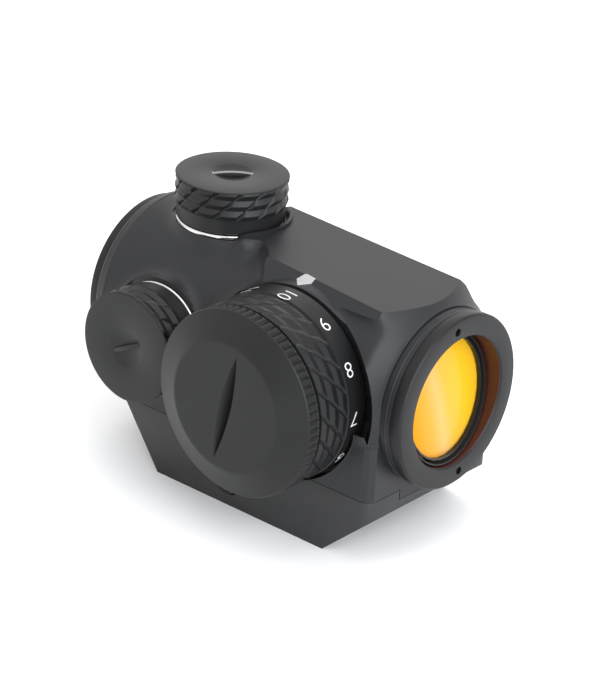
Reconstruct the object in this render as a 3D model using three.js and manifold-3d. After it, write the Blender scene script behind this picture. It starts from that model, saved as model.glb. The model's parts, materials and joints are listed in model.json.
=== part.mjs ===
// Compact tube red dot sight on a rail clamp base, in millimetres.
// +X is the front of the sight, -Y the side with the brightness knob, +Z up.
// The origin lies on the seat that rests on the rail, under the optical axis.
import * as THREE from 'three';
import { mergeVertices } from 'three/addons/utils/BufferGeometryUtils.js';
import Module from 'manifold-3d';

const wasm = await Module();
wasm.setup();

// Clearances
const seatGap = 0.3;
const runGap = 0.15;
const faceGap = 0.1;

// Optical tube, measured along X from the origin and outwards from the optical axis
const axisHeight = 23.0;
const tubeRadius = 18.3;
const rearRadius = 16.7;
const rearStepRadius = 17.7;
const rearStepX = -37.0;
const housingRearX = -39.7;
const neckRadius = 16.2;
const neckRearX = 28.2;
const housingFrontX = 30.4;
const shoulderConeRadius = 21.5;
const shoulderConeX = 22.8;

// Front and rear bezel rings
const bezelRadius = 16.5;
const bezelLength = 2.3;
const bezelBoreRadius = 12.4;
const bezelSpigotWall = 1.5;
const bezelSpigotLength = 3.4;
const bezelSkirtWall = 0.5;
const bezelSkirtRearX = 22.9;
const spannerHoleRadius = 0.7;
const spannerHoleDepth = 1.2;
const spannerTurn = 7.8;
const rearBezelLength = 2.0;
const rearBezelBoreRadius = 12.6;
const rearSpigotWall = 1.1;
const rearSpigotLength = 2.1;
const rearWindowThickness = 1.6;
const ringSealThickness = 0.9;

// Upper block with the flat top
const topHeight = 18.56;
const topSlope = 2.28;
const topHalfWidth = 10.25;
const topChamfer = 1.55;
const topRearX = -19.0;
const topDiagonal = 14.5;

// Lower block, its keel and the seam to the base
const blockHalfWidth = 17.48;
const blockFrontX = 28.27;
const blockRearX = -30.9;
const blockCorner = 2.2;
const seamHeight = 7.0;
const keelHalfWidth = 8.7;
const keelDepth = 2.0;

// Turrets
const turretX = -22.2;
const turretSeat = 17.7;
const turretCapTop = 27.05;
const turretCapRadius = 10.55;
const turretBandRadius = 10.15;
const trimRingRadius = 10.1;
const trimRingThickness = 0.7;
const collarRadius = 8.3;
const collarTop = 23.5;
const capKnurlBottom = 21.4;
const capPads = 15;
const capRidgeLength = 2.0;
const capRidgeDepth = 0.4;
const capKnurlTurn = 3;
const knurlRidges = 3;
const helixGrooveDepth = 0.5;
const helixGrooveHalf = 0.65;
const capDishRadius = 4.3;
const capDishDepth = 1.3;
const bladeThickness = 0.9;
const topBladeTurn = 46;
const sideBladeTurn = 27;
const sealWidth = 0.7;
const dialRadius = 6.9;
const dialThickness = 2.8;
const dialSlotWidth = 1.2;
const plungerRadius = 2.4;
const plungerTop = 20.6;

// Inner tube with the tilted front lens
const lensCellWall = 0.25;
const lensCellStep = 1.3;
const lensEdgeGap = 0.35;
const innerTubeWall = 0.8;
const innerTubeRearX = -30.0;
const tubeTiltRoom = 1.2;
const lensX = 29.8;
const lensTilt = 8.2;
const lensTiltTurn = 22;
const lensThickness = 1.7;
const lensBulge = 0.7;
const pivotRingLength = 2.4;
const emitterX = -24.0;

// Brightness knob, measured outwards from the optical axis
const knobX = 6.2;
const knobRadius = 17.45;
const bossFace = 13.7;
const bossRadius = 17.4;
const knobBack = 14.4;
const knobFront = 26.4;
const knobKnurlStart = 19.3;
const knobPads = 24;
const knobRidgeLength = 2.2;
const knobRidgeDepth = 0.25;
const knobKnurlTurn = 1;
const knobWeb = 3.9;
const pocketRadius = 18.2;
const hubRadius = 8.0;
const hubEnd = 19.9;
const boardWellWall = 1.5;
const boardWellDepth = 1.0;
const detentWellFloor = 6.0;
const detentCount = 12;
const detentPitchRadius = 12.6;
const detentBallRadius = 1.0;
const batteryRadius = 10.0;
const batteryThickness = 3.2;
const contactFloorRadius = 3.0;
const contactThickness = 0.5;
const contactRise = 0.7;

// Battery cap
const capRimRadius = 17.4;
const capRimBack = 26.65;
const capRimFront = 29.6;
const capRimRibs = 70;
const capRibDepth = 0.35;
const capFaceRadius = 12.05;
const capFace = 31.9;
const coinSlotLength = 20.4;
const coinSlotDepth = 1.8;
const coinSlotWidth = 2.4;
const coinSlotTurn = 9;
const capSpigotRadius = 12.3;

// Rail clamp base, heights measured from the rail seat
const baseBottom = -5.7;
const baseSlantFrontTop = 3.2;
const baseSlantFrontX = 18.4;
const baseSlantRearX = -22.0;
const railTopHalfWidth = 7.85;
const railHalfWidth = 10.65;
const jawFrontX = 16.0;
const jawRearX = -20.0;
const jawInnerY = 8.5;
const jawTop = 4.0;
const boltX = -4.7;
const boltHeight = -0.3;
const boltShankRadius = 2.45;
const boltThreadRadius = 2.0;
const boltHeadRadius = 3.0;
const boltHeadProud = 0.8;
const boltHeadLength = 2.8;
const boltShoulderY = 11.0;
const boltEndY = 17.0;
const nutFlats = 7.0;
const nutThickness = 4.0;
const baseScrewRadius = 1.5;
const baseScrewHeadRadius = 2.4;
const baseScrewHeadLength = 2.3;
const baseScrewRoof = 1.2;
const baseScrewY = 4.6;
const baseScrewFrontX = 16.0;
const baseScrewRearX = -20.0;

// Optics that follow from the front bezel's bore
const lensCellRadius = bezelBoreRadius - seatGap;
const lensRadius = lensCellRadius - lensCellWall - lensEdgeGap;
const innerTubeRadius = lensCellRadius - lensCellStep;
const boreRadius = innerTubeRadius + tubeTiltRoom;
const spannerPitchRadius = (bezelBoreRadius + bezelRadius) / 2 - 0.05;
const baseScrewTip = axisHeight - boreRadius - baseScrewRoof;

// Half length of the tools that cut right through
const cutReach = 60;

// Facet counts of the round surfaces
const fine = 48;
const medium = 32;
const coarse = 20;

// A closed surface as a solid, with its faces turned outwards.
function solidOf(geometry) {
  const bare = geometry.index ? geometry.clone() : geometry;
  bare.deleteAttribute('normal');
  bare.deleteAttribute('uv');
  const merged = mergeVertices(bare, 1e-5);
  const place = merged.attributes.position.array;
  const corners = merged.index.array;
  const kept = [];
  let volume = 0;
  const a = new THREE.Vector3();
  const b = new THREE.Vector3();
  const c = new THREE.Vector3();
  for (let i = 0; i < corners.length; i += 3) {
    const [p, q, r] = [corners[i], corners[i + 1], corners[i + 2]];
    if (p === q || q === r || p === r) continue;
    kept.push(p, q, r);
    a.fromArray(place, 3 * p);
    b.fromArray(place, 3 * q);
    c.fromArray(place, 3 * r);
    volume += a.dot(b.cross(c));
  }
  if (volume < 0) {
    for (let i = 0; i < kept.length; i += 3) {
      [kept[i], kept[i + 1]] = [kept[i + 1], kept[i]];
    }
  }
  const mesh = new wasm.Mesh({
    numProp: 3,
    vertProperties: new Float32Array(place),
    triVerts: new Uint32Array(kept)
  });
  return new wasm.Manifold(mesh);
}

// Frames for turned and extruded work: the local third axis becomes the named direction.
const frames = {
  front: new THREE.Matrix4().makeBasis(
    new THREE.Vector3(0, 1, 0), new THREE.Vector3(0, 0, 1), new THREE.Vector3(1, 0, 0)),
  side: new THREE.Matrix4().makeBasis(
    new THREE.Vector3(1, 0, 0), new THREE.Vector3(0, 0, 1), new THREE.Vector3(0, -1, 0)),
  up: new THREE.Matrix4()
};

// Moves a geometry from its frame to its place.
function framed(geometry, direction, x, y, z) {
  geometry.applyMatrix4(frames[direction]);
  geometry.translate(x, y, z);
  return solidOf(geometry);
}

// A turned solid from [radius, height] points, along a direction from a point on its axis.
function turned(points, direction, x, y, z, segments) {
  const profile = points.map(([r, h]) => new THREE.Vector2(r, h));
  if (points[0][0] > 0 || points[points.length - 1][0] > 0) profile.push(profile[0].clone());
  const geometry = new THREE.LatheGeometry(profile, segments);
  geometry.rotateX(Math.PI / 2);
  return framed(geometry, direction, x, y, z);
}

// A plain cylinder between two heights along a direction.
function rod(radius, from, to, direction, x, y, z, segments) {
  return turned([[0, from], [radius, from], [radius, to], [0, to]], direction, x, y, z, segments);
}

// A ring of rectangular section.
function ring(inner, outer, from, to, direction, x, y, z, segments) {
  const points = [[inner, from], [outer, from], [outer, to], [inner, to]];
  return turned(points, direction, x, y, z, segments);
}

// A prism from an outline, between two heights along a direction.
function prism(outline, from, to, direction, x = 0, y = 0, z = 0) {
  const shape = new THREE.Shape(outline.map(([u, v]) => new THREE.Vector2(u, v)));
  const geometry = new THREE.ExtrudeGeometry(shape, { depth: to - from, bevelEnabled: false });
  geometry.translate(0, 0, from);
  return framed(geometry, direction, x, y, z);
}

// A box between two corners.
function box(x0, x1, y0, y1, z0, z1) {
  const geometry = new THREE.BoxGeometry(x1 - x0, y1 - y0, z1 - z0);
  geometry.translate((x0 + x1) / 2, (y0 + y1) / 2, (z0 + z1) / 2);
  return solidOf(geometry);
}

// A rectangle with rounded corners as an outline.
function roundedRectangle(x0, x1, y0, y1, radius, steps) {
  const points = [];
  const corners = [[x1 - radius, y0 + radius, -90], [x1 - radius, y1 - radius, 0],
    [x0 + radius, y1 - radius, 90], [x0 + radius, y0 + radius, 180]];
  for (const [cx, cy, start] of corners) {
    for (let i = 0; i <= steps; i += 1) {
      const angle = THREE.MathUtils.degToRad(start + 90 * i / steps);
      points.push([cx + radius * Math.cos(angle), cy + radius * Math.sin(angle)]);
    }
  }
  return points;
}

// A regular polygon given its width across flats, with flats at top and bottom.
function polygonOutline(flats, sides) {
  const corner = flats / 2 / Math.cos(Math.PI / sides);
  const points = [];
  for (let i = 0; i < sides; i += 1) {
    const angle = Math.PI * 2 * i / sides;
    points.push([corner * Math.cos(angle), corner * Math.sin(angle)]);
  }
  return points;
}

// A turned surface whose rows may change radius round the axis. Each row has a height, a radius
// or a function of the column, and its turn round the axis. The angles place the columns.
function turnedGrid(rows, angles) {
  const columns = angles.length;
  const place = [];
  const starts = [];
  for (const row of rows) {
    starts.push(place.length / 3);
    const count = row.radius === 0 ? 1 : columns;
    for (let j = 0; j < count; j += 1) {
      const radius = typeof row.radius === 'function' ? row.radius(j) : row.radius;
      const angle = angles[j] + row.turn;
      place.push(radius * Math.cos(angle), radius * Math.sin(angle), row.height);
    }
  }
  const corners = [];
  for (let i = 0; i + 1 < rows.length; i += 1) {
    const below = (j) => starts[i] + (rows[i].radius === 0 ? 0 : j % columns);
    const above = (j) => starts[i + 1] + (rows[i + 1].radius === 0 ? 0 : j % columns);
    for (let j = 0; j < columns; j += 1) {
      corners.push(below(j), below(j + 1), above(j));
      corners.push(below(j + 1), above(j + 1), above(j));
    }
  }
  const geometry = new THREE.BufferGeometry();
  geometry.setAttribute('position', new THREE.Float32BufferAttribute(place, 3));
  geometry.setIndex(corners);
  return geometry;
}

function evenAngles(count) {
  return Array.from({ length: count }, (_, j) => Math.PI * 2 * j / count);
}

// Four columns to a knurl pad: the helical groove, its two edges and the pad's middle.
function padAngles(pads, radius) {
  const angles = [];
  const edge = helixGrooveHalf / radius;
  for (let i = 0; i < pads; i += 1) {
    const from = Math.PI * 2 * i / pads;
    angles.push(from, from + edge, from + Math.PI / pads, from + Math.PI * 2 / pads - edge);
  }
  return angles;
}

// Knurled rows: ridges round the axis, cut into slanted pads by helical V grooves at 45 degrees.
function knurlRows(from, ridges, ridgeLength, ridgeDepth, radius, startTurn) {
  const rows = [];
  for (let k = 0; k <= 2 * ridges; k += 1) {
    const crest = k % 2 === 0 ? radius - ridgeDepth : radius;
    rows.push({
      height: from + k * ridgeLength / 2,
      radius: (j) => (j % 4 === 0 ? radius - helixGrooveDepth : crest),
      turn: THREE.MathUtils.degToRad(startTurn) + k * ridgeLength / 2 / radius
    });
  }
  return rows;
}

// Housing: the turned tube, its upper and lower blocks, the knob boss and the turret collars
function makeHousing() {
  const tube = turned([
    [0, housingRearX], [rearRadius - 0.5, housingRearX], [rearRadius, housingRearX + 0.5],
    [rearRadius + 0.3, rearStepX - 1.0], [rearStepRadius, rearStepX],
    [tubeRadius, rearStepX + 1.0], [tubeRadius, blockFrontX - 4.4],
    [neckRadius + 1.1, neckRearX - 1.3], [neckRadius, neckRearX],
    [neckRadius, housingFrontX], [0, housingFrontX]
  ], 'front', 0, 0, 0, fine);

  // The flat top falls slightly to the front, and its long edges are chamfered.
  const wall = topHalfWidth + topChamfer;
  const upper = [[-wall, 0], [wall, 0], [wall, topHeight - topChamfer], [topHalfWidth, topHeight],
    [-topHalfWidth, topHeight], [-wall, topHeight - topChamfer]];
  const slope = THREE.MathUtils.degToRad(topSlope);
  let block = prism(upper, topRearX - 12, blockFrontX + 3, 'front');
  block = block.rotate([0, topSlope, 0]);

  // The front end of the block is turned to a hollow cone that runs into the neck.
  const cone = turned([
    [0, topRearX - 20], [shoulderConeRadius + 24, topRearX - 20],
    [shoulderConeRadius + 24, shoulderConeX - 20], [shoulderConeRadius, shoulderConeX],
    [shoulderConeRadius - 2.2, shoulderConeX + 2.0], [neckRadius + 2.0, shoulderConeX + 3.2],
    [neckRadius + 0.8, shoulderConeX + 4.4], [neckRadius, neckRearX], [0, neckRearX]
  ], 'front', 0, 0, 0, fine);
  block = block.intersect(cone);

  // Behind, it falls to the tube: slantwise on the knob's side, squarely on the far side.
  const hollow = [[0, topHeight + 3], [0, topHeight + 0.6], [1.2, topHeight - 0.9],
    [3.0, topHeight - 2.2], [5.4, topHeight - 3.2], [9.0, topHeight - 3.8], [9.0, 0], [40, 0],
    [40, topHeight + 3]];
  const slant = prism(hollow.map(([s, h]) => [s, h]), -cutReach, cutReach, 'side');
  const slantCut = slant.rotate([0, 0, 225]).translate([-topDiagonal / 2, -topDiagonal / 2, 0]);
  const rearCut = slant.rotate([0, 0, 180]).translate([topRearX, 0, 0]);
  block = block.subtract(slantCut).subtract(rearCut);

  const lower = prism(
    roundedRectangle(blockRearX, blockFrontX, -blockHalfWidth, blockHalfWidth, blockCorner, 4),
    seamHeight - axisHeight, -Math.sqrt(tubeRadius ** 2 - blockHalfWidth ** 2), 'up');
  const keel = box(blockRearX, blockFrontX, -keelHalfWidth, keelHalfWidth,
    seamHeight - keelDepth - axisHeight, -boreRadius);
  const seamCut = box(blockRearX - seatGap, cutReach, -cutReach, cutReach,
    -cutReach, seamHeight - axisHeight);
  let body = tube.subtract(seamCut).add(lower).add(keel);

  // Reliefs beside the neck bring the lower block's shoulders down to the cone.
  const bevelTop = seamHeight - axisHeight + 9.5;
  const bevelSide = [[bossFace - 20, bevelTop + 20], [bossFace, bevelTop],
    [bossFace + 10, bevelTop - 10], [bossFace + 10, bevelTop + 40], [bossFace - 20, bevelTop + 40]];
  const nearRelief = prism(
    [[knobX, bossFace], [knobX + bossRadius + runGap, bossFace], [blockFrontX + 0.1, neckRadius],
      [blockFrontX + 2, neckRadius], [blockFrontX + 2, 40], [knobX, 40]]
      .map(([x, v]) => [x, -v]),
    -30, 14, 'up').intersect(prism(bevelSide.map(([v, h]) => [-v, h]), -cutReach, cutReach, 'front'));
  const farRelief = prism(
    [[shoulderConeX, tubeRadius], [blockFrontX + 0.1, neckRadius], [blockFrontX + 2, neckRadius],
      [blockFrontX + 2, 40], [shoulderConeX, 40]],
    -30, 14, 'up').intersect(prism(bevelSide, -cutReach, cutReach, 'front'));
  body = body.subtract(farRelief);

  // The knob turns against a boss that flares into the tube, inside a pocket of the lower block.
  const pocket = rod(pocketRadius, bossFace, bossFace + 30, 'side', knobX, 0, 0, fine);
  body = body.subtract(nearRelief);
  const flare = turned([
    [0, 4], [bossRadius + 3.0, 4], [bossRadius + 3.0, bossFace - 2.9],
    [bossRadius + 1.4, bossFace - 2.1], [bossRadius + 0.4, bossFace - 1.0],
    [bossRadius, bossFace], [0, bossFace]
  ], 'side', knobX, 0, 0, fine);
  const underChamfer = prism([[-cutReach, -cutReach], [cutReach, -cutReach], [cutReach, cutReach],
    [topHalfWidth, topHeight], [-topHalfWidth, topHeight],
    [topHalfWidth - cutReach, topHeight + 2 * topHalfWidth - cutReach]],
  -cutReach, cutReach, 'front').rotate([0, topSlope, 0]);
  const core = rod(bossRadius, 4, bossFace, 'side', knobX, 0, 0, fine);
  const knobBoss = flare.intersect(underChamfer).add(core).intersect(cone);
  const lowerHalf = box(-cutReach, cutReach, -cutReach, cutReach, seamHeight - axisHeight, cutReach);
  body = body.add(block).add(knobBoss.intersect(lowerHalf));
  const hub = turned([
    [0, 4], [hubRadius, 4], [hubRadius, hubEnd - 1.35], [hubRadius - 0.7, hubEnd - 1.35],
    [hubRadius - 0.7, hubEnd - 0.45], [hubRadius, hubEnd - 0.45], [hubRadius, hubEnd], [0, hubEnd]
  ], 'side', knobX, 0, 0, medium);

  // Turret seats with their threaded collars
  for (const direction of ['up', 'side']) {
    const spot = rod(turretCapRadius + 0.6, turretSeat, turretSeat + 30, direction,
      turretX, 0, 0, medium);
    const foot = turned([
      [0, boreRadius], [turretCapRadius + 3.0, boreRadius],
      [turretCapRadius + 3.0, turretSeat - 3.0], [turretCapRadius + 1.1, turretSeat - 1.6],
      [turretCapRadius + 0.2, turretSeat], [0, turretSeat]
    ], direction, turretX, 0, 0, medium);
    const collar = rod(collarRadius, boreRadius, collarTop, direction, turretX, 0, 0, medium);
    body = body.add(foot).subtract(spot).add(collar);
  }
  body = body.subtract(pocket).add(hub);

  // Bores, counterbores and holes
  const tools = [
    rod(boreRadius, housingRearX - 5, housingFrontX + 5, 'front', 0, 0, 0, medium),
    rod(pivotBoreRadius, pivotShoulderX, housingFrontX + 5, 'front', 0, 0, 0, medium),
    rod(frontCounterRadius, bezelSpigotEnd - seatGap, housingFrontX + 5, 'front', 0, 0, 0, medium),
    rod(rearCounterRadius, housingRearX - 5, windowShoulderX, 'front', 0, 0, 0, medium),
    rod(hubRadius - boardWellWall, hubEnd - boardWellDepth, hubEnd + 5, 'side', knobX, 0, 0, coarse),
    rod(1.6, boreRadius - 4, hubEnd + 5, 'side', knobX, 0, 0, 12),
    rod(detentBallRadius + runGap, detentWellFloor, knobBack + 1, 'side', knobX, 0, -detentPitchRadius, 16),
    leafPocket()
  ];
  for (const direction of ['up', 'side']) {
    tools.push(rod(dialRadius + 0.2, dialFloor, collarTop + 5, direction, turretX, 0, 0, coarse));
    tools.push(rod(plungerRadius + runGap, boreRadius - 4, collarTop, direction, turretX, 0, 0, 20));
  }
  for (const [x, y] of baseScrewPlaces) {
    tools.push(rod(baseScrewRadius + runGap, -axisHeight, baseScrewTip + seatGap - axisHeight,
      'up', x, y, 0, 16));
  }
  for (const tool of tools) body = body.subtract(tool);
  return body;
}

const baseScrewPlaces = [
  [baseScrewFrontX, -baseScrewY], [baseScrewFrontX, baseScrewY],
  [baseScrewRearX, -baseScrewY], [baseScrewRearX, baseScrewY]
];

// Heights along the optical axis that follow from the bezels and the pivot ring
const bezelFace = housingFrontX + seatGap + bezelLength;
const bezelSpigotEnd = housingFrontX + seatGap - bezelSpigotLength;
const frontCounterRadius = bezelBoreRadius + bezelSpigotWall + seatGap;
const skirtRadius = bezelBoreRadius + bezelSkirtWall;
const pivotBoreRadius = skirtRadius + runGap;
const pivotRingFrontX = bezelSkirtRearX - seatGap;
const pivotRingRearX = pivotRingFrontX - pivotRingLength;
const pivotShoulderX = pivotRingRearX - seatGap;
const pivotX = (pivotRingFrontX + pivotRingRearX) / 2;
const rearBezelFace = housingRearX - seatGap - rearBezelLength;
const rearSpigotRadius = rearBezelBoreRadius + rearSpigotWall;
const rearCounterRadius = rearSpigotRadius + seatGap;
const rearSpigotEnd = housingRearX + rearSpigotLength;
const windowRearX = rearSpigotEnd + seatGap;
const windowFrontX = windowRearX + rearWindowThickness;
const sealFrontX = windowFrontX + seatGap + ringSealThickness;
const windowShoulderX = sealFrontX + seatGap;
const dialFloor = turretSeat + 1.8;

// Bezel rings with their two spanner holes
function makeBezel(front) {
  const face = front ? bezelFace : -rearBezelFace;
  const length = front ? bezelLength : rearBezelLength;
  const bore = front ? bezelBoreRadius : rearBezelBoreRadius;
  const spigot = front ? frontCounterRadius - seatGap : rearSpigotRadius;
  const spigotEnd = front ? bezelSpigotEnd : -rearSpigotEnd;
  const rim = front ? bezelRadius : rearRadius - 0.3;
  const points = [
    [spigot, spigotEnd], [spigot, face - length], [rim, face - length],
    [rim, face - 0.5], [rim - 0.5, face], [bore + 0.3, face], [bore, face - 0.3]
  ];
  if (front) points.push([bore, bezelSkirtRearX], [skirtRadius, bezelSkirtRearX], [skirtRadius, spigotEnd]);
  else points.push([bore, spigotEnd]);
  let body = turned(points, 'front', 0, 0, 0, fine);
  for (const side of [0, 180]) {
    const angle = THREE.MathUtils.degToRad(side + spannerTurn);
    const y = -spannerPitchRadius * Math.sin(angle);
    const z = spannerPitchRadius * Math.cos(angle);
    body = body.subtract(rod(spannerHoleRadius, face - spannerHoleDepth, face + 1, 'front', 0, y, z, 12));
  }
  return front ? body : body.rotate([0, 0, 180]);
}

// Bowed leaf spring low on the far side, between the adjusters, in a shallow pocket of the bore
const leafTurn = 45;
const leafWidth = 5.0;
const leafHalfLength = 7.0;
const leafThickness = 0.3;
const leafPocketDepth = 0.9;

function leafPocket() {
  const half = leafHalfLength + seatGap;
  return box(turretX - half, turretX + half, -leafWidth / 2 - seatGap, leafWidth / 2 + seatGap,
    -boreRadius - leafPocketDepth, -boreRadius + 2).rotate([leafTurn, 0, 0]);
}

function makeLeafSpring() {
  const lowest = -boreRadius - leafPocketDepth + seatGap;
  const rise = leafPocketDepth - seatGap + 0.1;
  const points = [];
  for (let i = -4; i <= 4; i += 1) {
    points.push([turretX + leafHalfLength * i / 4, lowest + rise * (1 - (i / 4) ** 2)]);
  }
  for (let i = 4; i >= -4; i -= 1) {
    points.push([turretX + leafHalfLength * i / 4, lowest + leafThickness + rise * (1 - (i / 4) ** 2)]);
  }
  return prism(points, -leafWidth / 2, leafWidth / 2, 'side').rotate([leafTurn, 0, 0]);
}

// Tilts a solid with the lens, which leans back at the top so that it faces the emitter below.
function tiltedToLens(solid) {
  return solid.rotate([0, -lensTilt, 0]).rotate([-lensTiltTurn, 0, 0]).translate([lensX, 0, 0]);
}

// Inner tube: a slim tube whose front cell has a slanted floor for the tilted lens
function makeInnerTube() {
  const outer = turned([
    [0, innerTubeRearX], [innerTubeRadius, innerTubeRearX],
    [innerTubeRadius, pivotRingFrontX + 0.2], [lensCellRadius, pivotRingFrontX + 1.0],
    [lensCellRadius, bezelFace], [0, bezelFace]
  ], 'front', 0, 0, 0, medium);
  const tilted = (from, to, half) => tiltedToLens(box(from, to, -half, half, -half, half));
  const frontCut = tilted(0.8, 30, 30);
  const cell = rod(lensCellRadius - lensCellWall, 0, bezelFace + 5, 'front', 0, 0, 0, medium)
    .intersect(tilted(-lensThickness - lensBulge - seatGap, 30, 30));
  const bore = rod(innerTubeRadius - innerTubeWall, innerTubeRearX - 5, bezelFace + 5,
    'front', 0, 0, 0, medium);
  return outer.subtract(frontCut).subtract(cell).subtract(bore);
}

// Doublet lens with a domed front
function makeLens() {
  const points = [[0, -lensThickness - lensBulge], [lensRadius, -lensThickness - lensBulge],
    [lensRadius, -lensBulge]];
  for (let i = 3; i >= 0; i -= 1) {
    points.push([lensRadius * i / 4, -lensBulge * (i / 4) ** 2]);
  }
  return tiltedToLens(turned(points, 'front', 0, 0, 0, medium));
}

function makeLensRetainer() {
  const from = -lensBulge + 0.3;
  return tiltedToLens(ring(lensRadius - 0.35, lensRadius, from, from + 0.7, 'front', 0, 0, 0, medium));
}

// Turret cap: dished top with a screwdriver blade, knurled band and smooth skirt
function makeTurretCap(direction, bladeTurn) {
  const knurl = knurlRows(capKnurlBottom, knurlRidges, capRidgeLength, capRidgeDepth,
    turretCapRadius, capKnurlTurn);
  knurl[knurl.length - 1].height = turretCapTop - 0.15;
  const bandTurn = knurl[0].turn;
  const topTurn = knurl[knurl.length - 1].turn;
  const rows = [
    { height: capBottom, radius: 0, turn: bandTurn },
    { height: capBottom, radius: turretBandRadius - 0.3, turn: bandTurn },
    { height: capBottom + 0.3, radius: turretBandRadius, turn: bandTurn },
    { height: capKnurlBottom - 0.2, radius: turretBandRadius, turn: bandTurn },
    ...knurl,
    { height: turretCapTop, radius: turretCapRadius - helixGrooveDepth - 0.05, turn: topTurn },
    { height: turretCapTop, radius: 0, turn: topTurn }
  ];
  let cap = framed(turnedGrid(rows, padAngles(capPads, turretCapRadius)), direction, turretX, 0, 0);
  const bore = turned([
    [0, capBottom - 1], [collarRadius + seatGap + sealWidth, capBottom - 1],
    [collarRadius + seatGap + sealWidth, capBottom + 1.3], [collarRadius + seatGap, capBottom + 1.3],
    [collarRadius + seatGap, collarTop + seatGap], [0, collarTop + seatGap]
  ], direction, turretX, 0, 0, coarse);
  const dish = turned([
    [0, turretCapTop - capDishDepth], [capDishRadius * 0.5, turretCapTop - capDishDepth * 0.8],
    [capDishRadius * 0.8, turretCapTop - capDishDepth * 0.45], [capDishRadius, turretCapTop],
    [capDishRadius, turretCapTop + 1], [0, turretCapTop + 1]
  ], direction, turretX, 0, 0, coarse);
  const angle = THREE.MathUtils.degToRad(bladeTurn);
  const half = capDishRadius - 0.1;
  const bladeOutline = [[-half, turretCapTop - capDishDepth - 0.3], [half, turretCapTop - capDishDepth - 0.3],
    [half, turretCapTop - 0.1], [half * 0.5, turretCapTop + 0.12], [-half * 0.5, turretCapTop + 0.12],
    [-half, turretCapTop - 0.1]];
  const shape = new THREE.Shape(bladeOutline.map(([u, v]) => new THREE.Vector2(u, v)));
  const blade = new THREE.ExtrudeGeometry(shape, { depth: bladeThickness, bevelEnabled: false });
  blade.translate(0, 0, -bladeThickness / 2);
  blade.rotateX(Math.PI / 2);
  blade.rotateZ(angle);
  cap = cap.subtract(bore).subtract(dish);
  return cap.add(framed(blade, direction, turretX, 0, 0));
}

const capBottom = turretSeat + faceGap + trimRingThickness + faceGap;

function makeTrimRing(direction) {
  const from = turretSeat + faceGap;
  const points = [
    [collarRadius + runGap, from], [trimRingRadius, from],
    [trimRingRadius, from + trimRingThickness - 0.2],
    [trimRingRadius - 0.2, from + trimRingThickness], [collarRadius + runGap, from + trimRingThickness]
  ];
  return turned(points, direction, turretX, 0, 0, medium);
}

function makeCapSeal(direction) {
  const inner = collarRadius + runGap;
  const outer = collarRadius + seatGap + sealWidth - runGap;
  const low = capBottom + 0.2;
  const high = capBottom + 1.1;
  const middle = (low + high) / 2;
  const points = [
    [inner, middle], [inner + 0.2, low], [outer - 0.2, low], [outer, middle],
    [outer - 0.2, high], [inner + 0.2, high]
  ];
  return turned(points, direction, turretX, 0, 0, coarse);
}

// Adjustment dial with its screwdriver slot, and the plunger that bears on the inner tube
function makeDial(direction) {
  const low = dialFloor + seatGap;
  const high = low + dialThickness;
  let dial = turned([
    [0, low], [dialRadius - 0.3, low], [dialRadius, low + 0.3], [dialRadius, high - 0.4],
    [dialRadius - 0.4, high], [0, high]
  ], direction, turretX, 0, 0, coarse);
  dial = dial.subtract(rod(plungerRadius + runGap, low - 1, plungerTop + 0.8, direction, turretX, 0, 0, 20));
  const slot = new THREE.BoxGeometry(2 * dialRadius + 2, dialSlotWidth, 2);
  slot.translate(0, 0, high);
  slot.rotateZ(Math.PI / 3);
  return dial.subtract(framed(slot, direction, turretX, 0, 0));
}

function makePlunger(direction) {
  const tip = innerTubeRadius + seatGap;
  return turned([
    [0, tip], [plungerRadius - 1.2, tip], [plungerRadius, tip + 0.6], [plungerRadius, plungerTop],
    [0, plungerTop]
  ], direction, turretX, 0, 0, 20);
}

// Brightness knob: smooth number band, knurled band and the battery well
function makeKnob() {
  const knurl = knurlRows(knobKnurlStart, knurlRidges, knobRidgeLength, knobRidgeDepth,
    knobRadius, knobKnurlTurn);
  const bandTurn = knurl[0].turn;
  const frontTurn = knurl[knurl.length - 1].turn;
  const rows = [
    { height: knobBack, radius: 0, turn: bandTurn },
    { height: knobBack, radius: knobRadius - 0.3, turn: bandTurn },
    { height: knobBack + 0.3, radius: knobRadius, turn: bandTurn },
    { height: knobKnurlStart - 0.2, radius: knobRadius, turn: bandTurn },
    ...knurl,
    { height: knobFront, radius: knobRadius - helixGrooveDepth, turn: frontTurn },
    { height: knobFront, radius: 0, turn: frontTurn }
  ];
  let knob = framed(turnedGrid(rows, padAngles(knobPads, knobRadius)), 'side', knobX, 0, 0);
  const well = turned([
    [0, knobBack - 1], [hubRadius + runGap, knobBack - 1], [hubRadius + runGap, knobWebTop],
    [batteryRadius - 1.0, knobWebTop], [batteryRadius - 1.0, rotorFloor],
    [batteryRadius + seatGap, rotorFloor], [batteryRadius + seatGap, threadFloor],
    [capSpigotRadius + seatGap, threadFloor], [capSpigotRadius + seatGap, knobFront + 1],
    [0, knobFront + 1]
  ], 'side', knobX, 0, 0, medium);
  knob = knob.subtract(well);
  for (let i = 0; i < detentCount; i += 1) {
    const angle = Math.PI * 2 * i / detentCount;
    const x = knobX + detentPitchRadius * Math.sin(angle);
    const z = -detentPitchRadius * Math.cos(angle);
    const dimple = turned([
      [0, knobBack - 0.5], [detentBallRadius + 0.4, knobBack - 0.5],
      [detentBallRadius - 0.5, knobBack + 0.6], [0, knobBack + 0.6]
    ], 'side', x, 0, z, 6);
    knob = knob.subtract(dimple);
  }
  return knob;
}

const knobWebTop = knobBack + knobWeb;
const rotorFloor = hubEnd + 0.5;
const rotorThickness = 0.8;
const batteryBack = rotorFloor + seatGap + rotorThickness + seatGap;
const batteryFront = batteryBack + batteryThickness;
const threadFloor = batteryBack + 0.6;
const capSpigotEnd = threadFloor + seatGap;

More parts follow.
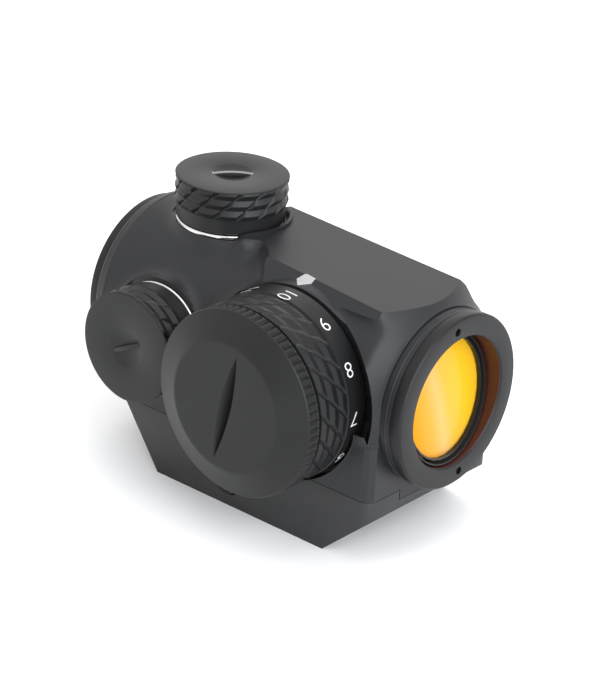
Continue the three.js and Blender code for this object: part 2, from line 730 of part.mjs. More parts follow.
// Retaining clip: an open ring in the hub's groove
function makeRetainingClip() {
  const from = hubEnd - 1.25;
  const clip = ring(hubRadius - 0.55, hubRadius + 0.8, from, from + 0.7, 'side', knobX, 0, 0, medium);
  return clip.subtract(box(knobX - 2.5, knobX + 2.5, -40, 0, 0, 20));
}

// Battery cap: ribbed rim, conical bevel, flat face with a leaf-shaped coin slot
function makeBatteryCap() {
  const ribbed = (j) => (j % 2 === 0 ? capRimRadius : capRimRadius - capRibDepth);
  const rows = [
    { height: capRimBack, radius: 0, turn: 0 },
    { height: capRimBack, radius: capRimRadius - 0.5, turn: 0 },
    { height: capRimBack + 0.3, radius: ribbed, turn: 0 },
    { height: capRimFront - 0.3, radius: ribbed, turn: 0 },
    { height: capRimFront, radius: capRimRadius - 0.45, turn: 0 },
    { height: capFace, radius: capFaceRadius, turn: 0 },
    { height: capFace, radius: 0, turn: 0 }
  ];
  let cap = framed(turnedGrid(rows, evenAngles(capRimRibs * 2)), 'side', knobX, 0, 0);
  const spigot = ring(batteryRadius + 2 * seatGap, capSpigotRadius, capSpigotEnd, capRimBack + 1,
    'side', knobX, 0, 0, medium);
  const hollow = rod(batteryRadius - 0.5, capRimBack - 1, capRimBack + 0.8, 'side', knobX, 0, 0, coarse);
  const groove = ring(sealInner - runGap, sealOuter + runGap, capRimBack - 1, capRimBack + 0.9,
    'side', knobX, 0, 0, medium);
  cap = cap.add(spigot).subtract(hollow).subtract(groove);
  const cutterRadius = (coinSlotLength ** 2 / 4 + coinSlotDepth ** 2) / 2 / coinSlotDepth;
  const cutterHalf = coinSlotWidth / 2 * cutterRadius / coinSlotDepth;
  const cutter = new THREE.LatheGeometry([
    new THREE.Vector2(0, -cutterHalf), new THREE.Vector2(cutterRadius, 0),
    new THREE.Vector2(0, cutterHalf)
  ], 64);
  cutter.translate(0, 0, capFace - coinSlotDepth + cutterRadius);
  cutter.rotateZ(THREE.MathUtils.degToRad(-90 - coinSlotTurn));
  return cap.subtract(framed(cutter, 'side', knobX, 0, 0));
}

const sealInner = capSpigotRadius + seatGap + 0.9;
const sealOuter = sealInner + 1.2;

function makeBatteryCapSeal() {
  const low = capRimBack - 0.1;
  const points = [
    [sealInner, low + 0.4], [sealInner + 0.3, low], [sealOuter - 0.3, low], [sealOuter, low + 0.4],
    [sealOuter - 0.3, low + 0.8], [sealInner + 0.3, low + 0.8]
  ];
  return turned(points, 'side', knobX, 0, 0, medium);
}

function makeContactSpring() {
  const from = batteryFront + seatGap;
  const rim = batteryRadius - contactRise - seatGap;
  return turned([
    [0, from], [contactFloorRadius, from], [rim, from + contactRise],
    [rim, from + contactRise + contactThickness],
    [contactFloorRadius, from + contactThickness], [0, from + contactThickness]
  ], 'side', knobX, 0, 0, coarse);
}

function makeBattery() {
  return turned([
    [0, batteryBack], [batteryRadius - 1.2, batteryBack], [batteryRadius - 1.2, batteryBack + 0.4],
    [batteryRadius - 0.3, batteryBack + 0.4], [batteryRadius, batteryBack + 0.7],
    [batteryRadius, batteryFront - 0.2], [batteryRadius - 0.2, batteryFront], [0, batteryFront]
  ], 'side', knobX, 0, 0, medium);
}

// Side view of the base and a clamp jaw cut from the same bar
const baseOutline = [
  [blockRearX, seamHeight], [blockRearX, seamHeight - 0.4], [baseSlantRearX, baseBottom],
  [baseSlantFrontX, baseBottom], [blockFrontX, baseSlantFrontTop], [blockFrontX, seamHeight]
];

// The rail's section: seat, upper and lower bevels
function railSection(spread) {
  const deep = railHalfWidth - railTopHalfWidth;
  return [
    [-railTopHalfWidth - spread, 0], [-railHalfWidth - spread, -deep],
    [-railTopHalfWidth - spread, -2 * deep], [-railTopHalfWidth - spread, baseBottom - 2],
    [railTopHalfWidth, baseBottom - 2], [railTopHalfWidth, -2 * deep], [railHalfWidth, -deep],
    [railTopHalfWidth, 0]
  ];
}

function makeBase() {
  let base = prism(baseOutline, -blockHalfWidth, blockHalfWidth, 'side');
  base = base.intersect(prism(
    roundedRectangle(blockRearX - 4, blockFrontX, -blockHalfWidth, blockHalfWidth, blockCorner, 4),
    baseBottom - 5, seamHeight - faceGap, 'up'));
  base = base.subtract(box(blockRearX - 5, blockFrontX + 5, -keelHalfWidth - runGap,
    keelHalfWidth + runGap, seamHeight - keelDepth - faceGap, seamHeight + 5));
  base = base.subtract(prism(railSection(0), -cutReach, cutReach, 'front'));
  base = base.subtract(box(-cutReach, cutReach, 0, railHalfWidth + 0.6, baseBottom - 5, 0));
  base = base.subtract(box(jawRearX - seatGap, jawFrontX + seatGap, jawInnerY - seatGap,
    blockHalfWidth + 5, baseBottom - 5, jawTop + seatGap));
  base = base.subtract(rod(pocketRadius, bossFace, bossFace + 30, 'side', knobX, 0, axisHeight, fine));
  base = base.subtract(rod(boltShankRadius + runGap, -cutReach, cutReach, 'side', boltX, 0, boltHeight, 24));
  base = base.subtract(rod(boltHeadRadius + seatGap,
    blockHalfWidth + boltHeadProud - boltHeadLength - seatGap, cutReach, 'side', boltX, 0, boltHeight, 24));
  for (const [x, y] of baseScrewPlaces) {
    base = base.subtract(rod(baseScrewRadius + runGap, -1, seamHeight, 'up', x, y, 0, 16));
    base = base.subtract(rod(baseScrewHeadRadius + seatGap, -1, baseScrewHeadLength + 0.7,
      'up', x, y, 0, 20));
  }
  return base;
}

function makeJaw() {
  let jaw = prism(baseOutline, -blockHalfWidth, -jawInnerY, 'side');
  jaw = jaw.intersect(box(jawRearX, jawFrontX, -cutReach, cutReach, baseBottom - 5, jawTop));
  const deep = railHalfWidth - railTopHalfWidth;
  jaw = jaw.add(prism([
    [jawInnerY + 1, -2 * deep], [railTopHalfWidth + 0.2, -2 * deep], [railTopHalfWidth + 0.2, baseBottom],
    [jawInnerY + 1, baseBottom]
  ], jawRearX + 1, jawFrontX - 1, 'front').intersect(prism(baseOutline, -cutReach, cutReach, 'side')));
  jaw = jaw.subtract(prism([
    [0, 0], [railTopHalfWidth + 0.2, 0], [railHalfWidth + 0.2, -deep], [railTopHalfWidth + 0.2, -2 * deep],
    [0, -2 * deep]
  ], -cutReach, cutReach, 'front'));
  jaw = jaw.subtract(rod(boltShankRadius + runGap, -boltShoulderY - seatGap, 0,
    'side', boltX, 0, boltHeight, 24));
  jaw = jaw.subtract(rod(boltThreadRadius + runGap, -cutReach, 0, 'side', boltX, 0, boltHeight, 24));
  const nutPocket = prism(polygonOutline(nutFlats + 0.5, 6), -cutReach, -(nutInnerY - seatGap),
    'side', boltX, 0, boltHeight);
  return jaw.subtract(nutPocket);
}

const nutInnerY = blockHalfWidth - nutThickness - 0.4;

function makeNut() {
  const hex = prism(polygonOutline(nutFlats, 6), -nutInnerY - nutThickness, -nutInnerY,
    'side', boltX, 0, boltHeight);
  return hex.subtract(rod(boltThreadRadius + runGap, -cutReach, cutReach, 'side', boltX, 0, boltHeight, 24));
}

function makeCrossBolt() {
  const headFace = blockHalfWidth + boltHeadProud;
  const points = [
    [0, -boltEndY], [boltThreadRadius - 0.3, -boltEndY], [boltThreadRadius, -boltEndY + 0.3],
    [boltThreadRadius, -boltShoulderY], [boltShankRadius, -boltShoulderY],
    [boltShankRadius, headFace - boltHeadLength], [boltHeadRadius, headFace - boltHeadLength],
    [boltHeadRadius, headFace - 0.3], [boltHeadRadius - 0.3, headFace], [0, headFace]
  ];
  const bolt = turned(points, 'side', boltX, 0, boltHeight, 24);
  const slot = new THREE.BoxGeometry(2 * boltHeadRadius + 2, 1.0, 2);
  slot.translate(0, 0, headFace);
  slot.rotateZ(0.5);
  return bolt.subtract(framed(slot, 'side', boltX, 0, boltHeight));
}

function makeBaseScrew(x, y) {
  const head = baseScrewHeadLength + 0.4;
  const points = [
    [0, 0.4], [baseScrewHeadRadius, 0.4], [baseScrewHeadRadius, head], [baseScrewRadius, head],
    [baseScrewRadius, baseScrewTip - 0.3], [baseScrewRadius - 0.3, baseScrewTip], [0, baseScrewTip]
  ];
  const screw = turned(points, 'up', x, y, 0, 16);
  return screw.subtract(prism(polygonOutline(2.5, 6), -1, 1.6, 'up', x, y, 0));
}

// Finishes
const finishes = {
  anodised: { color: 0x222327, roughness: 0.45, metalness: 0.6 },
  anodisedKnob: { color: 0x1d1e21, roughness: 0.5, metalness: 0.6 },
  steel: { color: 0xc9cbcd, roughness: 0.25, metalness: 1.0 },
  darkSteel: { color: 0x3a3b3e, roughness: 0.4, metalness: 0.9 },
  brass: { color: 0xb08a45, roughness: 0.35, metalness: 1.0 },
  rubber: { color: 0x111111, roughness: 0.8, metalness: 0.0 },
  amberGlass: { color: 0xf2b21c, roughness: 0.05, metalness: 0.1 },
  clearGlass: { color: 0xcfd8dc, roughness: 0.05, metalness: 0.0 },
  board: { color: 0x1f5d38, roughness: 0.6, metalness: 0.0 },
  emitter: { color: 0xd8d2c4, roughness: 0.4, metalness: 0.0 }
};

const sight = new THREE.Group();
const upperGroup = new THREE.Group();
upperGroup.position.z = axisHeight;
sight.add(upperGroup);

function place(group, name, solid, finish) {
  const { vertProperties, triVerts, numProp } = solid.getMesh();
  const points = new Float32Array(vertProperties.length / numProp * 3);
  for (let i = 0; i < vertProperties.length / numProp; i += 1) {
    for (let k = 0; k < 3; k += 1) points[3 * i + k] = vertProperties[i * numProp + k];
  }
  const geometry = new THREE.BufferGeometry();
  geometry.setAttribute('position', new THREE.BufferAttribute(points, 3));
  geometry.setIndex(new THREE.BufferAttribute(new Uint32Array(triVerts), 1));
  geometry.computeVertexNormals();
  const mesh = new THREE.Mesh(geometry, new THREE.MeshStandardMaterial(finishes[finish]));
  mesh.name = name;
  group.add(mesh);
}

place(upperGroup, 'housing', makeHousing(), 'anodised');
place(upperGroup, 'front_bezel', makeBezel(true), 'anodised');
place(upperGroup, 'rear_bezel', makeBezel(false), 'anodised');
place(upperGroup, 'rear_window', rod(rearCounterRadius - seatGap, windowRearX, windowFrontX,
  'front', 0, 0, 0, medium), 'clearGlass');
place(upperGroup, 'rear_window_seal', ring(boreRadius + 0.4, rearCounterRadius - seatGap,
  windowFrontX + seatGap, sealFrontX, 'front', 0, 0, 0, medium), 'rubber');
place(upperGroup, 'tube_leaf_spring', makeLeafSpring(), 'steel');
place(upperGroup, 'pivot_ring', ring(innerTubeRadius + seatGap, skirtRadius,
  pivotRingRearX, pivotRingFrontX, 'front', 0, 0, 0, medium), 'darkSteel');
place(upperGroup, 'inner_tube', makeInnerTube(), 'anodised');
place(upperGroup, 'front_lens', makeLens(), 'amberGlass');
place(upperGroup, 'lens_retainer', makeLensRetainer(), 'darkSteel');
const emitterFloor = -Math.sqrt((innerTubeRadius - innerTubeWall) ** 2 - 2.5 ** 2) + seatGap;
place(upperGroup, 'emitter_holder', box(emitterX - 2, emitterX + 2, -2.5, 2.5, emitterFloor,
  emitterFloor + 2.6).rotate([-lensTiltTurn, 0, 0]), 'board');
place(upperGroup, 'emitter', box(emitterX + 2.1, emitterX + 2.8, -0.8, 0.8, emitterFloor + 1.0,
  emitterFloor + 2.4).rotate([-lensTiltTurn, 0, 0]), 'emitter');

for (const [name, direction, turn] of [
  ['elevation', 'up', topBladeTurn], ['windage', 'side', sideBladeTurn]]) {
  place(upperGroup, `${name}_trim_ring`, makeTrimRing(direction), 'steel');
  place(upperGroup, `${name}_dial`, makeDial(direction), 'darkSteel');
  place(upperGroup, `${name}_plunger`, makePlunger(direction), 'brass');
  place(upperGroup, `${name}_cap_seal`, makeCapSeal(direction), 'rubber');
  place(upperGroup, `${name}_cap`, makeTurretCap(direction, turn), 'anodised');
}

place(upperGroup, 'brightness_knob', makeKnob(), 'anodisedKnob');
place(upperGroup, 'knob_retaining_clip', makeRetainingClip(), 'steel');
place(upperGroup, 'switch_board', rod(hubRadius - boardWellWall - seatGap,
  hubEnd - boardWellDepth + seatGap, hubEnd + faceGap, 'side', knobX, 0, 0, coarse), 'board');
place(upperGroup, 'switch_rotor', rod(batteryRadius, rotorFloor + seatGap,
  rotorFloor + seatGap + rotorThickness, 'side', knobX, 0, 0, coarse), 'board');
place(upperGroup, 'battery', makeBattery(), 'steel');
place(upperGroup, 'battery_contact', makeContactSpring(), 'steel');
place(upperGroup, 'battery_cap', makeBatteryCap(), 'anodised');
place(upperGroup, 'battery_cap_seal', makeBatteryCapSeal(), 'rubber');
const ballCentre = knobBack - 0.2 - detentBallRadius;
const ball = new THREE.SphereGeometry(detentBallRadius, 12, 8);
place(upperGroup, 'detent_ball', solidOf(ball.translate(knobX, -ballCentre, -detentPitchRadius)), 'steel');
place(upperGroup, 'detent_spring', rod(detentBallRadius - 0.1, detentWellFloor + seatGap,
  ballCentre - detentBallRadius - 0.05, 'side', knobX, 0, -detentPitchRadius, 12), 'steel');

place(sight, 'rail_base', makeBase(), 'anodised');
place(sight, 'clamp_jaw', makeJaw(), 'anodised');
place(sight, 'clamp_nut', makeNut(), 'darkSteel');
place(sight, 'cross_bolt', makeCrossBolt(), 'darkSteel');
baseScrewPlaces.forEach(([x, y], index) => {
  place(sight, `base_screw_${index + 1}`, makeBaseScrew(x, y), 'darkSteel');
});

export default sight;
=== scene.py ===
import json
import math

import bpy
from mathutils import Matrix, Vector

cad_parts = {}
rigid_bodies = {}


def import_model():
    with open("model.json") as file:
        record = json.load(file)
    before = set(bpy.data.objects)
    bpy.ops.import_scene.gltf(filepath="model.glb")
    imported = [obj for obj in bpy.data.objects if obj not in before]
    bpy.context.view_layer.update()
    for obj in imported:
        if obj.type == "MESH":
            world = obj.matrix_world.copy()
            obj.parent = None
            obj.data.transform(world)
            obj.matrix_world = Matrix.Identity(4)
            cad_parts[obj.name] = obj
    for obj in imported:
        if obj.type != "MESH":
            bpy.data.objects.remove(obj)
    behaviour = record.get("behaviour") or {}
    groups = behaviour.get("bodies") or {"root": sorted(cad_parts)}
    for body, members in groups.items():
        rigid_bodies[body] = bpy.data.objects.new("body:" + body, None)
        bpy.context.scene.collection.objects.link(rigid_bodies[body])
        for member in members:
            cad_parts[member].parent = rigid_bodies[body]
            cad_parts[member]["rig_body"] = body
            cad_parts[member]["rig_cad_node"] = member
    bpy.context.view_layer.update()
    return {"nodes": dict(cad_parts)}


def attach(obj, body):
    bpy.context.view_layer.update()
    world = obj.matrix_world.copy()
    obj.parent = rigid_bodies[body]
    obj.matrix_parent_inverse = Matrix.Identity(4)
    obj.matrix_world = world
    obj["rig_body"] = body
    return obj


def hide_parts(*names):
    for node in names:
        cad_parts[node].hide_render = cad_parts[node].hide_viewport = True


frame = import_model()
print("frame loaded:", len(frame["nodes"]), "nodes")

# Pieces are drawn in millimetres and scaled to metres when they are finished.
# x runs to the front lens, y away from the knob's side, and z up from the rail seat.
axisHeight = 23.0
knobX = 6.2
turretX = -22.2
onAxis = (0, 0, axisHeight)
atSeat = (0, 0, 0)
weldDistance = 0.0005
turns = {
    "front": Matrix(((0, 0, 1), (1, 0, 0), (0, 1, 0))).to_4x4(),
    "side": Matrix(((1, 0, 0), (0, 0, -1), (0, 1, 0))).to_4x4(),
    "up": Matrix.Identity(4),
}


# hand tools
def deselectAll():
    if bpy.context.object and bpy.context.object.mode != "OBJECT":
        bpy.ops.object.mode_set(mode="OBJECT")
    bpy.ops.object.select_all(action="DESELECT")


def pick(piece):
    deselectAll()
    piece.select_set(True)
    bpy.context.view_layer.objects.active = piece


def editAll(piece):
    pick(piece)
    bpy.ops.object.mode_set(mode="EDIT")
    bpy.ops.mesh.select_all(action="SELECT")


def applyPlace():
    bpy.ops.object.transform_apply(location=True, rotation=True, scale=True)


def extrudeBy(step):
    bpy.ops.mesh.extrude_region_move(TRANSFORM_OT_translate={"value": step})


def drawLine(name, points):
    # one vertex, extruded from point to point
    deselectAll()
    bpy.ops.mesh.primitive_plane_add(size=1)
    piece = bpy.context.object
    piece.name = name
    editAll(piece)
    bpy.ops.mesh.merge(type="CENTER")
    bpy.ops.transform.translate(value=Vector(points[0]))
    for before, after in zip(points, points[1:]):
        extrudeBy(Vector(after) - Vector(before))
    return piece


def placeAlong(piece, direction, x=0.0, y=0.0, z=axisHeight):
    pick(piece)
    piece.matrix_world = Matrix.Translation((x, y, z)) @ turns[direction]
    applyPlace()
    return piece


def turnedPiece(name, profile, direction, x=0.0, y=0.0, z=axisHeight, steps=128):
    # profile holds (radius, height) pairs; one that starts off the axis is closed on itself
    points = [(r, 0, h) for r, h in profile]
    if profile[0][0] > 0 or profile[-1][0] > 0:
        points.append(points[0])
    piece = drawLine(name, points)
    bpy.ops.mesh.select_all(action="SELECT")
    bpy.ops.mesh.spin(steps=steps, angle=math.tau, center=(0, 0, 0), axis=(0, 0, 1))
    bpy.ops.mesh.select_all(action="SELECT")
    bpy.ops.mesh.remove_doubles(threshold=weldDistance)
    bpy.ops.mesh.normals_make_consistent(inside=False)
    return placeAlong(piece, direction, x, y, z)


def plainRod(radius, low, high, direction, x=0.0, y=0.0, z=axisHeight, steps=96):
    return turnedPiece("rod", [(0, low), (radius, low), (radius, high), (0, high)], direction, x, y, z, steps)


def slab(name, outline, low, high, direction, x=0.0, y=0.0, z=axisHeight):
    # a flat outline, filled and pulled up to its thickness
    piece = drawLine(name, [(u, v, low) for u, v in outline])
    bpy.ops.mesh.select_all(action="SELECT")
    bpy.ops.mesh.edge_face_add()
    extrudeBy((0, 0, high - low))
    bpy.ops.mesh.select_all(action="SELECT")
    bpy.ops.mesh.normals_make_consistent(inside=False)
    return placeAlong(piece, direction, x, y, z)


def block(name, x0, x1, y0, y1, z0, z1):
    deselectAll()
    bpy.ops.mesh.primitive_cube_add(size=1, location=((x0 + x1) / 2, (y0 + y1) / 2, (z0 + z1) / 2))
    piece = bpy.context.object
    piece.name = name
    piece.scale = (x1 - x0, y1 - y0, z1 - z0)
    applyPlace()
    return piece


def turnAbout(piece, centre, axis, degrees):
    pick(piece)
    centre = Vector(centre)
    turn = Matrix.Rotation(math.radians(degrees), 4, Vector(axis))
    piece.matrix_world = Matrix.Translation(centre) @ turn @ Matrix.Translation(-centre)
    applyPlace()
    return piece


def moved(piece, x=0.0, y=0.0, z=0.0):
    pick(piece)
    piece.location = (x, y, z)
    bpy.ops.object.transform_apply(location=True, rotation=False, scale=False)
    return piece


def applied(piece, kind, **settings):
    pick(piece)
    modifier = piece.modifiers.new(kind.lower(), kind)
    for key, value in settings.items():
        setattr(modifier, key, value)
    bpy.ops.object.modifier_apply(modifier=modifier.name)
    return piece


def carve(piece, *tools, how="DIFFERENCE"):
    for tool in tools:
        applied(piece, "BOOLEAN", operation=how, object=tool, solver="EXACT")
        bpy.data.objects.remove(tool)
    return piece


def joined(name, *parts):
    deselectAll()
    for part in parts:
        part.select_set(True)
    bpy.context.view_layer.objects.active = parts[0]
    bpy.ops.object.join()
    parts[0].name = name
    return parts[0]


def softEdges(piece, width, segments=2, angle=32):
    return applied(piece, "BEVEL", width=width, segments=segments, limit_method="ANGLE",
                   angle_limit=math.radians(angle), harden_normals=False)


def sinkBy(piece, depth, group):
    # pushes the surface in, by the group's weights
    return applied(piece, "DISPLACE", direction="NORMAL", strength=-depth, mid_level=0.0, vertex_group=group)


def fade(value, none, full):
    # 0 at none, 1 at full, straight between
    return min(1.0, max(0.0, (value - none) / (full - none)))


def evenRows(low, high, count):
    return [low + (high - low) * i / count for i in range(count + 1)]


def finishPiece(piece, name, body, nodes, material, smooth=35, second=None, where=None):
    # the faces that where() names, by centre in millimetres and normal, get the second material
    pick(piece)
    piece.name = name
    piece.matrix_world = Matrix.Scale(0.001, 4)
    applyPlace()
    bpy.ops.object.shade_smooth_by_angle(angle=math.radians(smooth))
    piece.data.materials.clear()
    piece.data.materials.append(material)
    if second:
        piece.data.materials.append(second)
        for face in piece.data.polygons:
            face.material_index = 1 if where(face.center * 1000, face.normal) else 0
    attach(piece, body)
    if nodes:
        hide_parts(*nodes)
    print("finished", name, len(piece.data.polygons), "faces")
    return piece


# camera, fitted to the photograph's edges
camera = {"azimuth": 39.065, "elevation": 25.214, "roll": 3.615, "distance": 0.526686,
          "target": (-0.003739, 0.0, 0.021091), "lens": 148.665, "sensor": 36, "near": 0.05, "far": 20}


def addCamera():
    a, e, r = (math.radians(camera[k]) for k in ("azimuth", "elevation", "roll"))
    back = Vector((math.sin(a) * math.cos(e), -math.cos(a) * math.cos(e), math.sin(e)))
    right = Vector((math.cos(a), math.sin(a), 0))
    up = back.cross(right)
    tiltedRight = right * math.cos(r) + up * math.sin(r)
    tiltedUp = up * math.cos(r) - right * math.sin(r)
    bpy.ops.object.camera_add()
    eye = bpy.context.object
    turn = Matrix((tiltedRight, tiltedUp, back)).transposed().to_4x4()
    eye.matrix_world = Matrix.Translation(Vector(camera["target"]) + back * camera["distance"]) @ turn
    eye.data.lens = camera["lens"]
    eye.data.sensor_width = camera["sensor"]
    eye.data.clip_start = camera["near"]
    eye.data.clip_end = camera["far"]
    bpy.context.scene.camera = eye


addCamera()
print("camera set")


# effects shared by the materials
grainLook = {"fineness": 5200.0, "cloud": 90.0, "fineDetail": 2.0, "cloudDetail": 3.0, "bumpHeight": 0.0002,
             "roughSpread": 0.04, "darkAt": 0.3, "lightAt": 0.7}


def newGroup(name, inputs, outputs):
    group = bpy.data.node_groups.new(name, "ShaderNodeTree")
    for socketName, value in inputs.items():
        kind = "NodeSocketVector" if isinstance(value, tuple) else "NodeSocketFloat"
        socket = group.interface.new_socket(socketName, in_out="INPUT", socket_type=kind)
        socket.default_value = value
    for socketName, kind in outputs.items():
        group.interface.new_socket(socketName, in_out="OUTPUT", socket_type=kind)
    return group, group.nodes.new("NodeGroupInput"), group.nodes.new("NodeGroupOutput")


def blastedGrainGroup():
    # fine even grain of a blasted and anodised surface, with slow cloudy patches
    group, given, out = newGroup(
        "blastedGrain",
        {"Vector": (0.0, 0.0, 0.0), "Fineness": grainLook["fineness"], "Cloud": grainLook["cloud"]},
        {"Height": "NodeSocketFloat", "Patches": "NodeSocketFloat"})
    link = group.links.new
    for scale, detail, result in (("Fineness", "fineDetail", "Height"), ("Cloud", "cloudDetail", "Patches")):
        noise = group.nodes.new("ShaderNodeTexNoise")
        noise.inputs["Detail"].default_value = grainLook[detail]
        link(given.outputs["Vector"], noise.inputs["Vector"])
        link(given.outputs[scale], noise.inputs["Scale"])
        link(noise.outputs["Fac"], out.inputs[result])
    return group


grainGroup = blastedGrainGroup()


def addGroup(tree, group, **values):
    node = tree.nodes.new("ShaderNodeGroup")
    node.node_tree = group
    for key, value in values.items():
        node.inputs[key].default_value = value
    return node


def colourStops(tree, stops):
    node = tree.nodes.new("ShaderNodeValToRGB")
    elements = node.color_ramp.elements
    for element, (position, colour) in ((elements[0], stops[0]), (elements[1], stops[-1])):
        element.position = position
        element.color = (*colour, 1)
    for position, colour in stops[1:-1]:
        elements.new(position).color = (*colour, 1)
    return node


def newMaterial(name, **values):
    # the values are the shader's, with the spaces in their names left out
    material = bpy.data.materials.new(name)
    material.use_nodes = True
    tree = material.node_tree
    shader = tree.nodes["Principled BSDF"]
    for socket in shader.inputs:
        key = socket.name.replace(" ", "")
        if key in values:
            socket.default_value = values[key]
    return material, tree, shader


def cloudyColour(tree, shader, grain, dark, light):
    place = tree.nodes.new("ShaderNodeTexCoord")
    tree.links.new(place.outputs["Object"], grain.inputs["Vector"])
    colour = colourStops(tree, [(grainLook["darkAt"], dark), (grainLook["lightAt"], light)])
    tree.links.new(grain.outputs["Patches"], colour.inputs["Fac"])
    tree.links.new(colour.outputs["Color"], shader.inputs["Base Color"])


def anodised(name, dark, light, roughness, bump=0.04, metallic=0.0, specular=0.5, fineness=grainLook["fineness"]):
    # dark and light are the ends of the cloudy colour
    material, tree, shader = newMaterial(name, Metallic=metallic, SpecularIORLevel=specular)
    grain = addGroup(tree, grainGroup, Fineness=fineness)
    cloudyColour(tree, shader, grain, dark, light)
    rough = tree.nodes.new("ShaderNodeMapRange")
    rough.inputs["To Min"].default_value = roughness - grainLook["roughSpread"]
    rough.inputs["To Max"].default_value = roughness + grainLook["roughSpread"]
    tree.links.new(grain.outputs["Patches"], rough.inputs["Value"])
    tree.links.new(rough.outputs["Result"], shader.inputs["Roughness"])
    bumpNode = tree.nodes.new("ShaderNodeBump")
    bumpNode.inputs["Strength"].default_value = bump
    bumpNode.inputs["Distance"].default_value = grainLook["bumpHeight"]
    tree.links.new(grain.outputs["Height"], bumpNode.inputs["Height"])
    tree.links.new(bumpNode.outputs["Normal"], shader.inputs["Normal"])
    return material


housingBlack = anodised("housingBlack", (0.0105, 0.0110, 0.0122), (0.0135, 0.0140, 0.0155), 0.43,
                        specular=0.36)
# a lighter black than the housing's: painted light that lifts the base and clamp jaw out of the floor's shadow
baseBlackPaintedLight = anodised("baseBlackPaintedLight", (0.0165, 0.0168, 0.0172), (0.0205, 0.0208, 0.0212), 0.46, specular=0.40)
capBlack = anodised("capBlack", (0.0085, 0.0087, 0.0090), (0.0115, 0.0117, 0.0120), 0.42, specular=0.31)
knobBlack = anodised("knobBlack", (0.0070, 0.0072, 0.0075), (0.0100, 0.0102, 0.0105), 0.40, specular=0.27)
ringBlack = anodised("ringBlack", (0.0075, 0.0077, 0.0082), (0.0100, 0.0102, 0.0108), 0.42, specular=0.28)
innerBlack = anodised("innerBlack", (0.006, 0.006, 0.006), (0.010, 0.010, 0.010), 0.6)
blackenedSteel = anodised("blackenedSteel", (0.02, 0.02, 0.02), (0.035, 0.034, 0.033), 0.33, metallic=0.8)
brightSteel = anodised("brightSteel", (0.62, 0.62, 0.62), (0.74, 0.74, 0.73), 0.18, metallic=1.0)
turnedBrass = anodised("turnedBrass", (0.50, 0.34, 0.12), (0.60, 0.43, 0.18), 0.28, metallic=1.0)
sealRubber = anodised("sealRubber", (0.012, 0.012, 0.012), (0.02, 0.02, 0.02), 0.75, bump=0.15,
                      fineness=2600.0)
circuitGreen = anodised("circuitGreen", (0.01, 0.08, 0.03), (0.015, 0.12, 0.05), 0.45)
emitterResin = anodised("emitterResin", (0.55, 0.53, 0.46), (0.62, 0.60, 0.52), 0.3)
numberWhite = anodised("numberWhite", (0.66, 0.66, 0.66), (0.74, 0.74, 0.74), 0.5, bump=0.02)
markGrey = anodised("markGrey", (0.36, 0.36, 0.36), (0.44, 0.44, 0.44), 0.5, bump=0.02)
# red-brown for the front bezel's bore wall: a painted reflection of the amber lens
paintedBoreReflection = anodised("paintedBoreReflection", (0.040, 0.010, 0.007), (0.055, 0.014, 0.010), 0.35, specular=0.3)
# lighter grey for the coin blade's crest: partly wear, partly a painted highlight on its upward faces
wearAndHighlight = anodised("wearAndHighlight", (0.16, 0.16, 0.16), (0.24, 0.24, 0.24), 0.3, metallic=0.6)
lensRim = anodised("lensRim", (0.006, 0.007, 0.009), (0.010, 0.012, 0.017), 0.3, specular=0.4)

# the coating's colour runs across the lens, from the knob's side, 0, to the far side, 1
coating = {"roughness": 0.12, "specular": 0.06, "middle": 0.5, "tilt": -14, "perMetre": 43.0,
           "colours": [(0.05, (0.66, 0.225, 0.003)), (0.35, (0.66, 0.25, 0.006)), (0.53, (0.64, 0.30, 0.04)),
                       (0.66, (0.64, 0.36, 0.11)), (0.78, (0.65, 0.35, 0.04)), (1.0, (0.67, 0.38, 0.015))]}
glass = {"roughness": 0.03, "ior": 1.5, "cloud": 30.0, "lightGain": 1.04}


def amberCoating():
    material, tree, shader = newMaterial("amberCoating", Roughness=coating["roughness"],
                                         SpecularIORLevel=coating["specular"])
    place = tree.nodes.new("ShaderNodeTexCoord")
    turned = tree.nodes.new("ShaderNodeMapping")
    turned.inputs["Location"].default_value = (0, coating["middle"], 0)
    turned.inputs["Rotation"].default_value = (math.radians(coating["tilt"]), 0, 0)
    turned.inputs["Scale"].default_value = (coating["perMetre"],) * 3
    tree.links.new(place.outputs["Object"], turned.inputs["Vector"])
    apart = tree.nodes.new("ShaderNodeSeparateXYZ")
    tree.links.new(turned.outputs["Vector"], apart.inputs[0])
    colour = colourStops(tree, coating["colours"])
    tree.links.new(apart.outputs["Y"], colour.inputs["Fac"])
    tree.links.new(colour.outputs["Color"], shader.inputs["Base Color"])
    return material


def coatedGlass(name, tint):
    material, tree, shader = newMaterial(name, Roughness=glass["roughness"], TransmissionWeight=1.0,
                                         IOR=glass["ior"])
    grain = addGroup(tree, grainGroup, Cloud=glass["cloud"])
    cloudyColour(tree, shader, grain, tint, tuple(min(1.0, c * glass["lightGain"]) for c in tint))
    return material


amber = amberCoating()
windowGlass = coatedGlass("windowGlass", (0.82, 0.90, 0.93))
print("materials ready")


